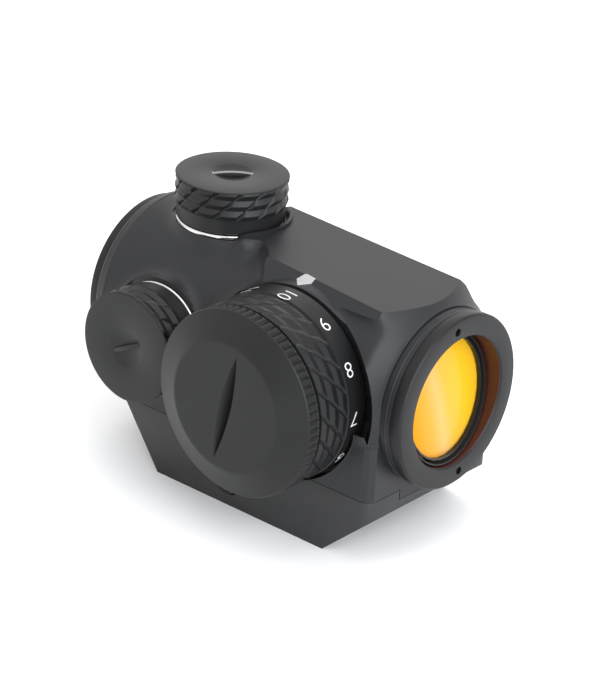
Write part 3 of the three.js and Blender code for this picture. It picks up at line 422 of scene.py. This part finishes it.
# housing
housing = {
    "voxel": 0.42, "evenPasses": 6, "saddlePasses": 110, "passFactor": 0.5,
    "tubeRadius": 18.3, "topHeight": 18.56, "topSlope": 2.28,
    "nearEdge": 9.76, "nearTurn": 3.6, "farEdge": 10.25, "facetDrop": 3.1, "facetWidth": 12, "facetRise": 9,
    "facetNearRear": -12, "facetFarRear": -30,
    "blockHalfWidth": 17.48, "blockFrontX": 28.27, "blockRearX": -30.9, "blockCorner": 1.6, "seam": 7.0,
    "bossRadius": 17.42, "bossFoot": 3, "bossTop": 19, "bossFace": 13.7, "bossSteps": 160, "bossGap": 0.18,
    "bossGapFoot": 2, "bossGapTop": 30, "lobeRadius": 13.4, "lobeFoot": 5, "lobeTop": 19.7,
    "footBottom": 10, "footTops": {"up": 18.3, "side": 23}, "footMargin": 0.3, "flatGap": 0.4,
    "pocketRadius": 18.2, "seat": 17.7, "seatGap": 0.45, "seatSteps": 120, "capRadius": 10.55, "bore": 12.0,
    "rearCutX": -37.2, "rearCutLow": -20,
    "clearRadius": 18.1, "clearSlope": 0.86, "clearDepth": 4, "clearLift": 0.03,
    "hubRadius": 8.0, "hubFoot": 12, "hubTop": 19.9, "rearEdge": 0.12,
    "wide": 40, "beyond": 60, "flatReach": 70, "fineSteps": 192, "coarseSteps": 64,
    "cone": [(21.5, 22.8), (20.4, 23.7), (19.35, 24.8), (18.35, 25.8), (17.5, 26.8), (16.8, 27.6), (16.3, 28.3)],
    "coneEnd": 28.3, "coneRadius": 45, "coneX": 2.8, "shoulderRadius": 19.6, "shoulderX": 24.5,
}

# turned pieces of the housing, as (radius, place along the axis)
profiles = {
    "tube": [(0, -44), (housing["tubeRadius"], -44), (housing["tubeRadius"], 25.6), (17.5, 26.8),
             (16.6, 28.0), (16.2, 29.5), (0, 29.5)],
    "rear": [(12.2, -36.6), (17.9, -36.6), (18.3, -36.75), (18.3, -37.1), (17.9, -37.4), (17.6, -38.9),
             (17.3, -39.3), (16.55, -39.6), (13.8, -39.7), (12.2, -39.7)],
    "neck": [(12.6, 27.9), (16.0, 27.9), (16.2, 28.15), (16.2, 29.15), (16.28, 29.25), (16.28, 29.45),
             (16.2, 29.55), (16.2, 30.2), (16.0, 30.4), (12.6, 30.4)],
    "collar": [(6.9, 14), (8.3, 14), (8.3, 23.3), (8.1, 23.5), (6.9, 23.5)],
}

# how far the long smoothing reaches: a share, and fades along x, y and z, with z from the axis
saddle = {
    "rear": (1.0, (("x", 4, -1), ("z", -4, 0))),
    "boss": (0.35, (("x", 24, 18), ("y", -2, -6), ("z", -4, 0))),
    "near": (0.5, (("x", 12, 15), ("x", 26, 24), ("y", -10, -11.5), ("z", 8, 11))),
}


def roundedOutline(x0, x1, y0, y1, radius, steps=6):
    points = []
    for cx, cy, start in ((x1 - radius, y0 + radius, -90), (x1 - radius, y1 - radius, 0),
                          (x0 + radius, y1 - radius, 90), (x0 + radius, y0 + radius, 180)):
        for i in range(steps + 1):
            angle = math.radians(start + 90 * i / steps)
            points.append((cx + radius * math.cos(angle), cy + radius * math.sin(angle)))
    return points


def housingSlab(name):
    # outlines are (x, y), or (y, z) where the slab runs to the front
    h = housing
    half, front, top, seam = h["blockHalfWidth"], h["blockFrontX"], h["topHeight"], h["seam"]
    wide, beyond = h["wide"], h["beyond"]
    cutFront = [(26.2, -half), (27.4, -17.1), (front, -16.15), (front, 16.15), (27.4, 17.1), (26.2, half),
                (26.2, 30), (50, 30), (50, -30), (26.2, -30)]
    outline, low, high, direction, place = {
        "lower": (roundedOutline(h["blockRearX"], front + 1, -half, half, h["blockCorner"]), 3.0, 17.6, "up",
                  atSeat),
        "near": ([(8, -10), (9, -half), (32, -half), (32, -10)], -14, 30, "up", onAxis),
        "front": ([(1.5, -11.9), (32, -12.7), (32, 12.0), (1.5, 12.0)], 0, top + 4, "up", onAxis),
        "rear": ([(8, -12.6), (-3.6, -12.3), (-18.2, 2.3), (-18.2, 12.0), (8, 12.0)], 5, top + 0.5, "up", onAxis),
        "sector": ([(turretX, 0), (turretX + 30, -27.5), (turretX + 30, -7)], 0, beyond, "up", atSeat),
        "fill": ([(-1.6, -10.6), (10, -11.4), (10, 11.0), (-11, 11.0), (-11, -1.2)], 12, top + 1, "up", onAxis),
        "corner": (cutFront, -10, beyond, "up", atSeat),
        "under": ([(-wide, -wide), (wide, -wide), (wide, seam), (8.7, seam), (8.7, 5.0), (-8.7, 5.0),
                   (-8.7, seam), (-wide, seam)], -31.0, beyond, "front", atSeat),
        "above": ([(-13, -16.5), (-17.6, -3.4), (-wide, -3.4), (-wide, wide), (-13, wide)], 14, beyond, "front",
                  onAxis),
    }[name]
    return slab(name, outline, low, high, direction, *place)


def coneBody(radius, shoulder):
    # the block's front end, turned hollow, from a shoulder of the given radius
    h = housing
    hollow = [(r, x) for r, x in h["cone"] if r < radius]
    return turnedPiece("cone", [(0, -h["beyond"]), (radius, -h["beyond"]), (radius, shoulder)] + hollow +
                       [(0, h["coneEnd"])], "front", steps=h["fineSteps"])


def bossRod(radius, low, high):
    return plainRod(radius, low, high, "side", knobX, steps=housing["bossSteps"])


def saddleShare(place):
    return max(math.prod((fade(place[axis], none, full) for axis, none, full in fades), start=share)
               for share, fades in saddle.values())


def blendedBody():
    # the parts that flow into each other, drawn long where a later cut trims them
    h = housing
    tube = turnedPiece("tube", profiles["tube"], "front")
    lower = housingSlab("lower")
    near = housingSlab("near")
    carve(near, coneBody(h["shoulderRadius"], h["shoulderX"]), how="INTERSECT")
    front = housingSlab("front")
    carve(front, coneBody(h["coneRadius"], h["coneX"]), how="INTERSECT")
    rear = turnAbout(housingSlab("rear"), onAxis, (0, 1, 0), h["topSlope"])
    lobe = plainRod(h["lobeRadius"], h["lobeFoot"], h["lobeTop"], "up", turretX, steps=h["coarseSteps"])
    carve(lobe, housingSlab("sector"), how="INTERSECT")
    boss = bossRod(h["bossRadius"], h["bossFoot"], h["bossTop"])
    feet = [plainRod(h["capRadius"] + h["footMargin"], h["footBottom"], top, direction, turretX)
            for direction, top in h["footTops"].items()]
    shell = joined("housingShell", tube, lower, near, front, rear, lobe, boss, *feet)
    applied(shell, "REMESH", mode="VOXEL", voxel_size=h["voxel"])
    applied(shell, "SMOOTH", factor=h["passFactor"], iterations=h["evenPasses"])
    group = shell.vertex_groups.new(name="saddle")
    for vertex in shell.data.vertices:
        x, y, z = vertex.co
        group.add([vertex.index], saddleShare({"x": x, "y": y, "z": z - axisHeight}), "REPLACE")
    applied(shell, "SMOOTH", factor=h["passFactor"], iterations=h["saddlePasses"], vertex_group="saddle")
    print("housing blended", len(shell.data.polygons), "faces")
    return shell


def flatCutter():
    h = housing
    cutter = block("flat", -h["flatReach"], h["flatReach"], -h["wide"], h["wide"], axisHeight + h["topHeight"],
                   axisHeight + h["beyond"])
    carve(cutter, plainRod(h["capRadius"] + h["flatGap"], 0, h["beyond"], "up", turretX))
    return turnAbout(cutter, onAxis, (0, 1, 0), h["topSlope"])


def facetCutter(side):
    # leaves the boss standing where it is higher than the facet
    h = housing
    near = side < 0
    edge, top, drop, width = h["nearEdge" if near else "farEdge"], h["topHeight"], h["facetDrop"], h["facetWidth"]
    outline = [(side * edge, top), (side * (edge + drop), top - drop), (side * (edge + width), top - drop),
               (side * (edge + width), top + h["facetRise"]), (side * edge, top + h["facetRise"])]
    cutter = slab("facet", outline, h["facetNearRear" if near else "facetFarRear"], h["wide"], "front")
    turnAbout(cutter, onAxis, (0, 1, 0), h["topSlope"])
    if near:
        turnAbout(cutter, (0, -edge, axisHeight), (0, 0, 1), -h["nearTurn"])
        carve(cutter, bossRod(h["bossRadius"] + h["bossGap"], h["bossGapFoot"], h["bossGapTop"]))
    return cutter


def clearCutter():
    # the cone-shaped room round the knob
    h = housing
    face = h["bossFace"] + h["clearLift"]
    flare = h["clearRadius"] + h["clearSlope"] * h["clearDepth"]
    clear = turnedPiece("clear", [(0, face), (h["clearRadius"], face), (flare, face + h["clearDepth"]),
                                  (flare, h["wide"]), (0, h["wide"])], "side", knobX, steps=h["fineSteps"])
    return carve(clear, housingSlab("above"), how="INTERSECT")


def makeHousing():
    h = housing
    shell = blendedBody()
    carve(shell, housingSlab("fill"), how="UNION")
    carve(shell, flatCutter(), facetCutter(-1), facetCutter(1))
    tools = [housingSlab("corner"), housingSlab("under"),
             block("rearEnd", -h["beyond"], h["rearCutX"], -h["wide"], h["wide"], h["rearCutLow"],
                   h["beyond"]),
             plainRod(h["bore"], -h["beyond"], h["beyond"], "front"),
             plainRod(h["pocketRadius"], h["bossFace"], h["wide"], "side", knobX, steps=h["fineSteps"]),
             clearCutter()]
    for direction in ("up", "side"):
        tools.append(plainRod(h["capRadius"] + h["seatGap"], h["seat"], h["wide"], direction, turretX,
                              steps=h["seatSteps"]))
    carve(shell, *tools)
    print("housing cut", len(shell.data.polygons), "faces")
    rear, neck = (turnedPiece(name, profiles[name], "front") for name in ("rear", "neck"))
    softEdges(rear, h["rearEdge"])
    hub = plainRod(h["hubRadius"], h["hubFoot"], h["hubTop"], "side", knobX)
    collars = [turnedPiece("collar", profiles["collar"], direction, turretX, steps=h["coarseSteps"])
               for direction in ("up", "side")]
    return joined("housingShell", shell, rear, neck, hub, *collars)


# the pointer at the knob, painted over the block's near edge
pointer = {"outline": [(4.84, -9.72), (7.05, -10.0), (6.75, -11.2), (5.6, -13.3), (3.45, -11.0)],
           "drawnAt": 30, "cuts": 24, "offset": 0.015, "thickness": 0.03}


def makeIndexMark(shell):
    # drawn above the housing and laid on it from there
    piece = drawLine("mark", [(x, y, axisHeight + pointer["drawnAt"]) for x, y in pointer["outline"]])
    bpy.ops.mesh.select_all(action="SELECT")
    bpy.ops.mesh.edge_face_add()
    bpy.ops.mesh.quads_convert_to_tris()
    bpy.ops.mesh.subdivide(number_cuts=pointer["cuts"])
    bpy.ops.mesh.select_all(action="SELECT")
    bpy.ops.mesh.normals_make_consistent(inside=False)
    bpy.ops.object.mode_set(mode="OBJECT")
    applied(piece, "SHRINKWRAP", target=shell, wrap_method="PROJECT", use_project_z=True,
            use_negative_direction=True, use_positive_direction=False, offset=pointer["offset"])
    return applied(piece, "SOLIDIFY", thickness=pointer["thickness"], offset=0.0)


shell = makeHousing()
mark = makeIndexMark(shell)
finishPiece(shell, "housingShell", "housing", ["housing"], housingBlack, smooth=16)
finishPiece(mark, "indexMark", "housing", [], markGrey)


# bezel rings
bezels = {
    "front": {"face": 33.0, "back": 30.7, "radius": 16.5, "bore": 12.4, "spigot": 13.9, "spigotEnd": 22.9},
    "rear": {"face": 42.0, "back": 40.0, "radius": 16.4, "bore": 12.6, "spigot": 13.6, "spigotEnd": 37.7},
}
bezelEdge = {"chamfer": 0.35, "soft": 0.1, "steps": 160}
spanner = {"pitch": 14.4, "radius": 0.75, "turn": 7.8, "depth": 1.2, "rise": 2, "steps": 24}
boreMargin = 0.05


def makeBezel(which):
    b, cut = bezels[which], bezelEdge["chamfer"]
    ring = turnedPiece("bezel", [(b["bore"], b["spigotEnd"]), (b["spigot"], b["spigotEnd"]),
                                 (b["spigot"], b["back"]), (b["radius"], b["back"]),
                                 (b["radius"], b["face"] - cut), (b["radius"] - cut, b["face"]),
                                 (b["bore"] + cut, b["face"]), (b["bore"], b["face"] - cut)],
                       "front", steps=bezelEdge["steps"])
    softEdges(ring, bezelEdge["soft"])
    for side in (0, 180):
        angle = math.radians(side + spanner["turn"])
        carve(ring, plainRod(spanner["radius"], b["face"] - spanner["depth"], b["face"] + spanner["rise"],
                             "front", 0,
                             -spanner["pitch"] * math.sin(angle),
                             axisHeight + spanner["pitch"] * math.cos(angle), steps=spanner["steps"]))
    return ring


# the faces of the front bezel's bore, which get the painted lens reflection
def inBore(centre, normal):
    return math.hypot(centre.y, centre.z - axisHeight) < bezels["front"]["bore"] + boreMargin


finishPiece(makeBezel("front"), "frontBezelRing", "housing", ["front_bezel"], ringBlack,
            second=paintedBoreReflection, where=inBore)
rearRing = turnAbout(makeBezel("rear"), onAxis, (0, 0, 1), 180)
finishPiece(rearRing, "rearBezelRing", "housing", ["rear_bezel"], ringBlack)


# turret caps and the bright rings under them
cap = {
    "bottom": 18.6, "top": 27.05, "radius": 10.55, "bandRadius": 10.15, "chamfer": 0.3,
    "topEdge": [(-0.22, -0.03), (-0.4, 0)], "bandStart": 0.2, "bandEnd": 0.15, "rows": 38, "steps": 600,
    "knurlEnd": 0.3,
    "valleys": (21.4, 23.4, 25.4, 27.4), "grooves": 15, "firstGroove": 3.0, "grooveDepth": 0.52,
    "grooveHalf": 0.66, "ridgeDepth": 0.4,
    "boreRadius": 8.6, "boreTop": 23.8, "boreSteps": 64,
    "dishRadius": 4.15, "dishDepth": 0.8, "dishRings": 12, "dishSteps": 96, "dishEdge": (0.12, 0.2), "lift": 1,
    "bladeHalf": 3.95, "bladeThick": 0.45, "bladeSunk": 0.2, "bladeEdge": 0.14, "bladeEdgeAngle": 40,
    "bladeRise": 0.12, "bladeFall": 0.42, "bladePoints": 8, "bladeTurns": {"elevation": 46.0, "windage": 27.0},
}
crest = {"depth": 0.7, "facing": 0.3, "aside": 0.46, "margin": 0.02}
knurl = {"below": 0.16, "above": 0.01, "inside": 0.01, "fadeFrom": 0.15, "fadeTo": 0.1}
trimRing = {"profile": [(8.45, 17.8), (10.1, 17.8), (10.1, 18.3), (9.9, 18.5), (8.45, 18.5)], "edge": 0.08}


def knurlBand(piece, sizes, top):
    # ridged rows cut into slanted pads by V grooves that climb at 45 degrees; piece stands on +Z
    radius, valleys, ridgeDepth = sizes["radius"], sizes["valleys"], sizes["ridgeDepth"]
    depth, first, inner = sizes["grooveDepth"], valleys[0], radius - knurl["inside"]
    group = piece.vertex_groups.new(name="sunk")
    pitch = math.tau / sizes["grooves"]
    for vertex in piece.data.vertices:
        x, y, z = vertex.co
        if not first - knurl["below"] <= z <= top + knurl["above"] or math.hypot(x, y) < inner:
            continue
        deep = ridgeDepth
        for low, high in zip(valleys, valleys[1:]):
            if low <= z <= high:
                deep = ridgeDepth * abs(2 * (z - low) / (high - low) - 1)
        turn = (math.atan2(y, x) - math.radians(sizes["firstGroove"]) - (z - first) / radius) / pitch
        gap = abs(turn - round(turn)) * pitch * radius
        shown = fade(z, first - knurl["fadeFrom"], first + knurl["fadeTo"])
        deep = max(deep, depth * (1 - gap / sizes["grooveHalf"]) * shown)
        group.add([vertex.index], min(1.0, deep / depth), "REPLACE")
    return sinkBy(piece, depth, "sunk")


def capDish():
    c = cap
    top, width, depth = c["top"], c["dishRadius"], c["dishDepth"]
    ball = (width ** 2 + depth ** 2) / 2 / depth
    arc = []
    for i in range(c["dishRings"] + 1):
        r = width * i / c["dishRings"]
        arc.append((r, top - depth + ball - math.sqrt(ball ** 2 - r ** 2)))
    lip, rise = c["dishEdge"]
    arc += [(width + lip, top + rise), (width, top + c["lift"]), (0, top + c["lift"])]
    return turnedPiece("dish", arc, "up", *atSeat, steps=c["dishSteps"])


def capBlade(turn):
    # the coin blade that stands in the dish
    c = cap
    half, foot, count = c["bladeHalf"], c["top"] - c["dishDepth"] - c["bladeSunk"], c["bladePoints"]
    outline = [(-half, foot), (half, foot)]
    outline += [(half * u / count, c["top"] + c["bladeRise"] - c["bladeFall"] * (u / count) ** 2)
                for u in range(count, -count - 1, -1)]
    blade = slab("blade", outline, -c["bladeThick"], c["bladeThick"], "side", *atSeat)
    softEdges(blade, c["bladeEdge"], 3, c["bladeEdgeAngle"])
    return turnAbout(blade, (0, 0, 0), (0, 0, 1), turn)


def makeCap(name, direction):
    c = cap
    low, bottom, top, edge = c["valleys"][0], c["bottom"], c["top"], c["chamfer"]
    profile = [(0, bottom), (c["bandRadius"] - edge, bottom), (c["bandRadius"], bottom + edge),
               (c["bandRadius"], low - c["bandStart"])]
    profile += [(c["radius"], z) for z in evenRows(low, top - c["bandEnd"], c["rows"])]
    profile += [(c["radius"] + r, top + z) for r, z in c["topEdge"]] + [(0, top)]
    piece = turnedPiece(name, profile, "up", *atSeat, steps=c["steps"])
    knurlBand(piece, c, top - c["knurlEnd"])
    dish = capDish()
    bore = plainRod(c["boreRadius"], bottom - c["lift"], c["boreTop"], "up", *atSeat, steps=c["boreSteps"])
    carve(piece, dish, bore)
    return placeAlong(joined(name, piece, capBlade(c["bladeTurns"][name])), direction, turretX)


def onBladeTop(name):
    # the coin blade's crest, where it faces up, painted lighter: partly wear, partly a painted highlight
    turn = math.radians(cap["bladeTurns"][name])

    def test(centre, normal):
        if name == "elevation":
            out, across, up = centre.z - axisHeight, centre.y, normal.z
        else:
            out, across, up = -centre.y, centre.z - axisHeight, -normal.y
        aside = abs(across * math.cos(turn) - (centre.x - turretX) * math.sin(turn))
        return out > cap["top"] - crest["depth"] and up > crest["facing"] and aside < crest["aside"] and \
            math.hypot(centre.x - turretX, across) < cap["bladeHalf"] + crest["margin"]
    return test


for name, direction in (("elevation", "up"), ("windage", "side")):
    # only the elevation blade's crest gets the wear and painted highlight; the windage blade keeps the cap's
    # black
    finishPiece(makeCap(name, direction), name + "CapShell", name + "_cap", [name + "_cap"], capBlack,
                smooth=26, second=wearAndHighlight if name == "elevation" else capBlack,
                where=onBladeTop(name))
    ring = softEdges(turnedPiece("trim", trimRing["profile"], direction, turretX), trimRing["edge"])
    finishPiece(ring, name + "TrimRing", "housing", [name + "_trim_ring"], brightSteel)


# brightness knob and its numbers
knob = {
    "back": 14.4, "front": 26.4, "radius": 17.45, "rows": 40, "steps": 800,
    "frontEdge": [(-0.45, 0), (-0.2, -0.1)], "backEdge": [(0, 0.3), (-0.3, 0)],
    "bandFoot": 0.3, "bandStart": 0.15, "bandEnd": 0.3,
    "valleys": (19.3, 21.55, 24.0, 26.1), "grooves": 24, "firstGroove": 1.0, "grooveDepth": 0.52,
    "grooveHalf": 0.66, "ridgeDepth": 0.25,
    "hubBore": 8.15, "shelf": 18.3, "wellRadius": 10.3, "wellTop": 22.3, "cellRadius": 12.6,
    "dimples": 12, "dimplePitch": 12.6, "dimple": [(0, -0.5), (1.4, -0.5), (0.5, 0.6), (0, 0.6)],
    "dimpleSteps": 16,
}
digits = {"values": 12, "shown": 10, "step": 30.0, "firstAngle": 1.8, "height": 2.9, "capShare": 0.72,
          "thin": -0.05, "centre": 17.4, "reach": 3.0, "curve": 6, "sunk": 0.03, "proud": 0.02,
          "bandBack": 14.5, "bandFront": 20.0, "bandSteps": 180, "weld": 0.001}


def makeKnob():
    k = knob
    low, back, front, radius = k["valleys"][0], k["back"], k["front"], k["radius"]
    profile = [(k["cellRadius"], front)] + [(radius + r, front + z) for r, z in k["frontEdge"]]
    profile += [(radius, z) for z in reversed(evenRows(low - k["bandStart"], front - k["bandEnd"], k["rows"]))]
    profile += [(radius, low - k["bandFoot"])] + [(radius + r, back + z) for r, z in k["backEdge"]]
    profile += [(k["hubBore"], back), (k["hubBore"], k["shelf"]), (k["wellRadius"], k["shelf"]),
                (k["wellRadius"], k["wellTop"]), (k["cellRadius"], k["wellTop"])]
    piece = turnedPiece("knob", profile, "up", *atSeat, steps=k["steps"])
    knurlBand(piece, k, front - k["bandEnd"])
    dimples = []
    for i in range(k["dimples"]):
        angle = math.tau * i / k["dimples"]
        dimple = turnedPiece("dimple", [(r, back + z) for r, z in k["dimple"]], "up", *atSeat,
                             steps=k["dimpleSteps"])
        dimples.append(moved(dimple, k["dimplePitch"] * math.sin(angle), -k["dimplePitch"] * math.cos(angle)))
    carve(piece, joined("dimples", *dimples))
    return placeAlong(piece, "side", knobX)


finishPiece(makeKnob(), "knobShell", "brightness_knob", ["brightness_knob"], knobBlack, smooth=22)


def makeNumber(value):
    # text laid on the knob's band: it reads outwards, with its top clockwise seen from outside
    d = digits
    deselectAll()
    bpy.ops.object.text_add()
    text = bpy.context.object
    text.data.body = str(value)
    text.data.size = d["height"] / d["capShare"]
    text.data.align_x = "CENTER"
    text.data.align_y = "CENTER"
    text.data.extrude = d["reach"]
    text.data.offset = d["thin"]
    text.data.resolution_u = d["curve"]
    bpy.ops.object.convert(target="MESH")
    piece = bpy.context.object
    editAll(piece)
    bpy.ops.mesh.remove_doubles(threshold=d["weld"])
    bpy.ops.mesh.normals_make_consistent(inside=False)
    clockwise = math.radians(d["firstAngle"] + d["step"] * (d["shown"] - value))
    outward = Vector((math.sin(clockwise), 0, math.cos(clockwise)))
    tops = Vector((math.cos(clockwise), 0, -math.sin(clockwise)))
    reading = Vector((0, -1, 0))
    centre = Vector((knobX, -d["centre"], axisHeight)) + outward * knob["radius"]
    pick(piece)
    piece.matrix_world = Matrix.Translation(centre) @ Matrix((reading, tops, outward)).transposed().to_4x4()
    applyPlace()
    # only a thin skin of it is kept
    inner, outer = knob["radius"] - d["sunk"], knob["radius"] + d["proud"]
    band = turnedPiece("band", [(inner, d["bandBack"]), (outer, d["bandBack"]), (outer, d["bandFront"]),
                                (inner, d["bandFront"])], "side", knobX, steps=d["bandSteps"])
    return carve(piece, band, how="INTERSECT")


numbers = [makeNumber(value) for value in range(digits["values"])]
finishPiece(joined("numbers", *numbers), "knobNumbers", "brightness_knob", [], numberWhite)


# battery cap
batteryCap = {
    "back": 26.7, "rimFront": 29.6, "radius": 17.4, "face": 31.9, "faceRadius": 12.05, "steps": 700,
    "backEdge": [(-0.35, 0), (0, 0.3)],
    "rimEdge": [(0, -0.15), (-0.12, 0.05), (-0.4, 0.16), (-0.7, 0.27)],
    "faceEdge": [(0.8, -0.36), (0.45, -0.2), (0.2, -0.1), (0, -0.04), (-0.25, -0.008), (-0.5, 0)],
    "rows": 6, "rowsStart": 0.5, "rowsEnd": 0.35, "ribs": 70, "ribDepth": 0.4, "ribShare": 0.36,
    "ribStart": 0.4, "ribEnd": 0.3, "ribInside": 0.05,
    "slotLength": 21.4, "slotDepth": 1.8, "slotWidth": 2.6, "slotTurn": 11.0, "slotSteps": 256,
}


def slotCutter():
    # a disc with a sharp rim, which stands across the face on edge
    b = batteryCap
    radius = (b["slotLength"] ** 2 / 4 + b["slotDepth"] ** 2) / 2 / b["slotDepth"]
    half = b["slotWidth"] / 2 * radius / b["slotDepth"]
    cutter = turnedPiece("slotCutter", [(0, -half), (radius, 0), (0, half)], "up", *atSeat, steps=b["slotSteps"])
    turnAbout(cutter, (0, 0, 0), (0, 1, 0), 90)
    turnAbout(cutter, (0, 0, 0), (0, 1, 0), b["slotTurn"])
    return moved(cutter, knobX, -(b["face"] - b["slotDepth"] + radius), axisHeight)


def makeBatteryCap():
    b = batteryCap
    back, rim, radius = b["back"], b["rimFront"], b["radius"]
    profile = [(0, back)] + [(radius + r, back + z) for r, z in b["backEdge"]]
    profile += [(radius, z) for z in evenRows(back + b["rowsStart"], rim - b["rowsEnd"], b["rows"])]
    profile += [(radius + r, rim + z) for r, z in b["rimEdge"]]
    profile += [(b["faceRadius"] + r, b["face"] + z) for r, z in b["faceEdge"]]
    profile.append((0, b["face"]))
    piece = turnedPiece("batteryCap", profile, "up", *atSeat, steps=b["steps"])
    group = piece.vertex_groups.new(name="ribs")
    for vertex in piece.data.vertices:
        x, y, z = vertex.co
        if back + b["ribStart"] < z < rim - b["ribEnd"] and math.hypot(x, y) > radius - b["ribInside"]:
            wave = (math.atan2(y, x) / math.tau * b["ribs"]) % 1.0
            depth = max(0.0, 1 - abs(wave - 0.5) / b["ribShare"])
            if depth > 0:
                group.add([vertex.index], depth, "REPLACE")
    sinkBy(piece, b["ribDepth"], "ribs")
    placeAlong(piece, "side", knobX)
    return carve(piece, slotCutter())


finishPiece(makeBatteryCap(), "batteryCapShell", "battery_cap", ["battery_cap"], knobBlack, smooth=20)


# base and clamp jaw
refining = {"edge": 0.25, "edgeAngle": 30, "weld": 0.002, "flatAngle": 2}


def refinedCopy(nodeName):
    # a CAD node's shape with its edges broken
    node = frame["nodes"][nodeName]
    piece = node.copy()
    piece.data = node.data.copy()
    piece.name = nodeName + "Refined"
    bpy.context.scene.collection.objects.link(piece)
    piece.parent = None
    piece.matrix_world = Matrix.Scale(1000, 4)
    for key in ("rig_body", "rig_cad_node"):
        if key in piece:
            del piece[key]
    pick(piece)
    applyPlace()
    editAll(piece)
    bpy.ops.mesh.remove_doubles(threshold=refining["weld"])
    bpy.ops.mesh.dissolve_limited(angle_limit=math.radians(refining["flatAngle"]))
    bpy.ops.object.mode_set(mode="OBJECT")
    return softEdges(piece, refining["edge"], 2, refining["edgeAngle"])


finishPiece(refinedCopy("rail_base"), "railBaseBody", "housing", ["rail_base"], baseBlackPaintedLight)
finishPiece(refinedCopy("clamp_jaw"), "clampJawBody", "clamp_jaw", ["clamp_jaw"], baseBlackPaintedLight)


# finishes of the CAD nodes that stay in view or inside
finishes = {
    "front_lens": amber, "rear_window": windowGlass, "lens_retainer": lensRim, "inner_tube": innerBlack,
    "pivot_ring": blackenedSteel, "rear_window_seal": sealRubber, "tube_leaf_spring": brightSteel,
    "emitter_holder": circuitGreen, "emitter": emitterResin, "elevation_dial": blackenedSteel,
    "windage_dial": blackenedSteel, "elevation_plunger": turnedBrass, "windage_plunger": turnedBrass,
    "elevation_cap_seal": sealRubber, "windage_cap_seal": sealRubber, "knob_retaining_clip": brightSteel,
    "switch_board": circuitGreen, "switch_rotor": circuitGreen, "battery": brightSteel,
    "battery_contact": brightSteel, "battery_cap_seal": sealRubber, "detent_ball": brightSteel,
    "detent_spring": brightSteel, "clamp_nut": blackenedSteel, "cross_bolt": blackenedSteel,
}
finishes.update({"base_screw_" + str(i): blackenedSteel for i in (1, 2, 3, 4)})
for nodeName, material in finishes.items():
    node = frame["nodes"][nodeName]
    node.data.materials.clear()
    node.data.materials.append(material)
print("finishes set")


# stage and light, in metres
stage = {"floorHeight": -0.0057, "floorSize": 6.0, "floorCells": 12, "floorTone": 0.95, "floorRoughness": 0.9,
         "worldStrength": 1.15, "aim": (0, 0, 0.02)}
lights = {
    "cone": {"place": (0.93, -0.34, 0.50), "size": 1.0, "power": 12.5, "tint": (0.90, 0.94, 1.0)},
    "behind": {"place": (-0.68, 0.84, 0.52), "size": 0.8, "power": 0.6, "tint": (1, 1, 1)},
    "overhead": {"place": (0.0, 0.0, 1.5), "size": 1.2, "power": 5.0, "tint": (1, 1, 1)},
}


def addStage():
    deselectAll()
    bpy.ops.mesh.primitive_grid_add(x_subdivisions=stage["floorCells"], y_subdivisions=stage["floorCells"],
                                    size=stage["floorSize"], location=(0, 0, stage["floorHeight"]))
    floor = bpy.context.object
    floor.name = "studioFloor"
    tone = stage["floorTone"]
    material = newMaterial("paleFloor", Roughness=stage["floorRoughness"], BaseColor=(tone, tone, tone, 1))[0]
    floor.data.materials.append(material)
    world = bpy.data.worlds.new("studioWorld")
    bpy.context.scene.world = world
    world.use_nodes = True
    world.node_tree.nodes["Background"].inputs["Color"].default_value = (1, 1, 1, 1)
    world.node_tree.nodes["Background"].inputs["Strength"].default_value = stage["worldStrength"]
    for name, l in lights.items():
        bpy.ops.object.light_add(type="AREA", location=l["place"])
        lamp = bpy.context.object
        lamp.name = name + "Light"
        lamp.data.size = l["size"]
        lamp.data.energy = l["power"]
        lamp.data.color = l["tint"]
        lamp.rotation_euler = (Vector(stage["aim"]) - Vector(l["place"])).to_track_quat("-Z", "Y").to_euler()


addStage()
bpy.context.scene.view_settings.view_transform = "Standard"
print("stage ready")

deselectAll()
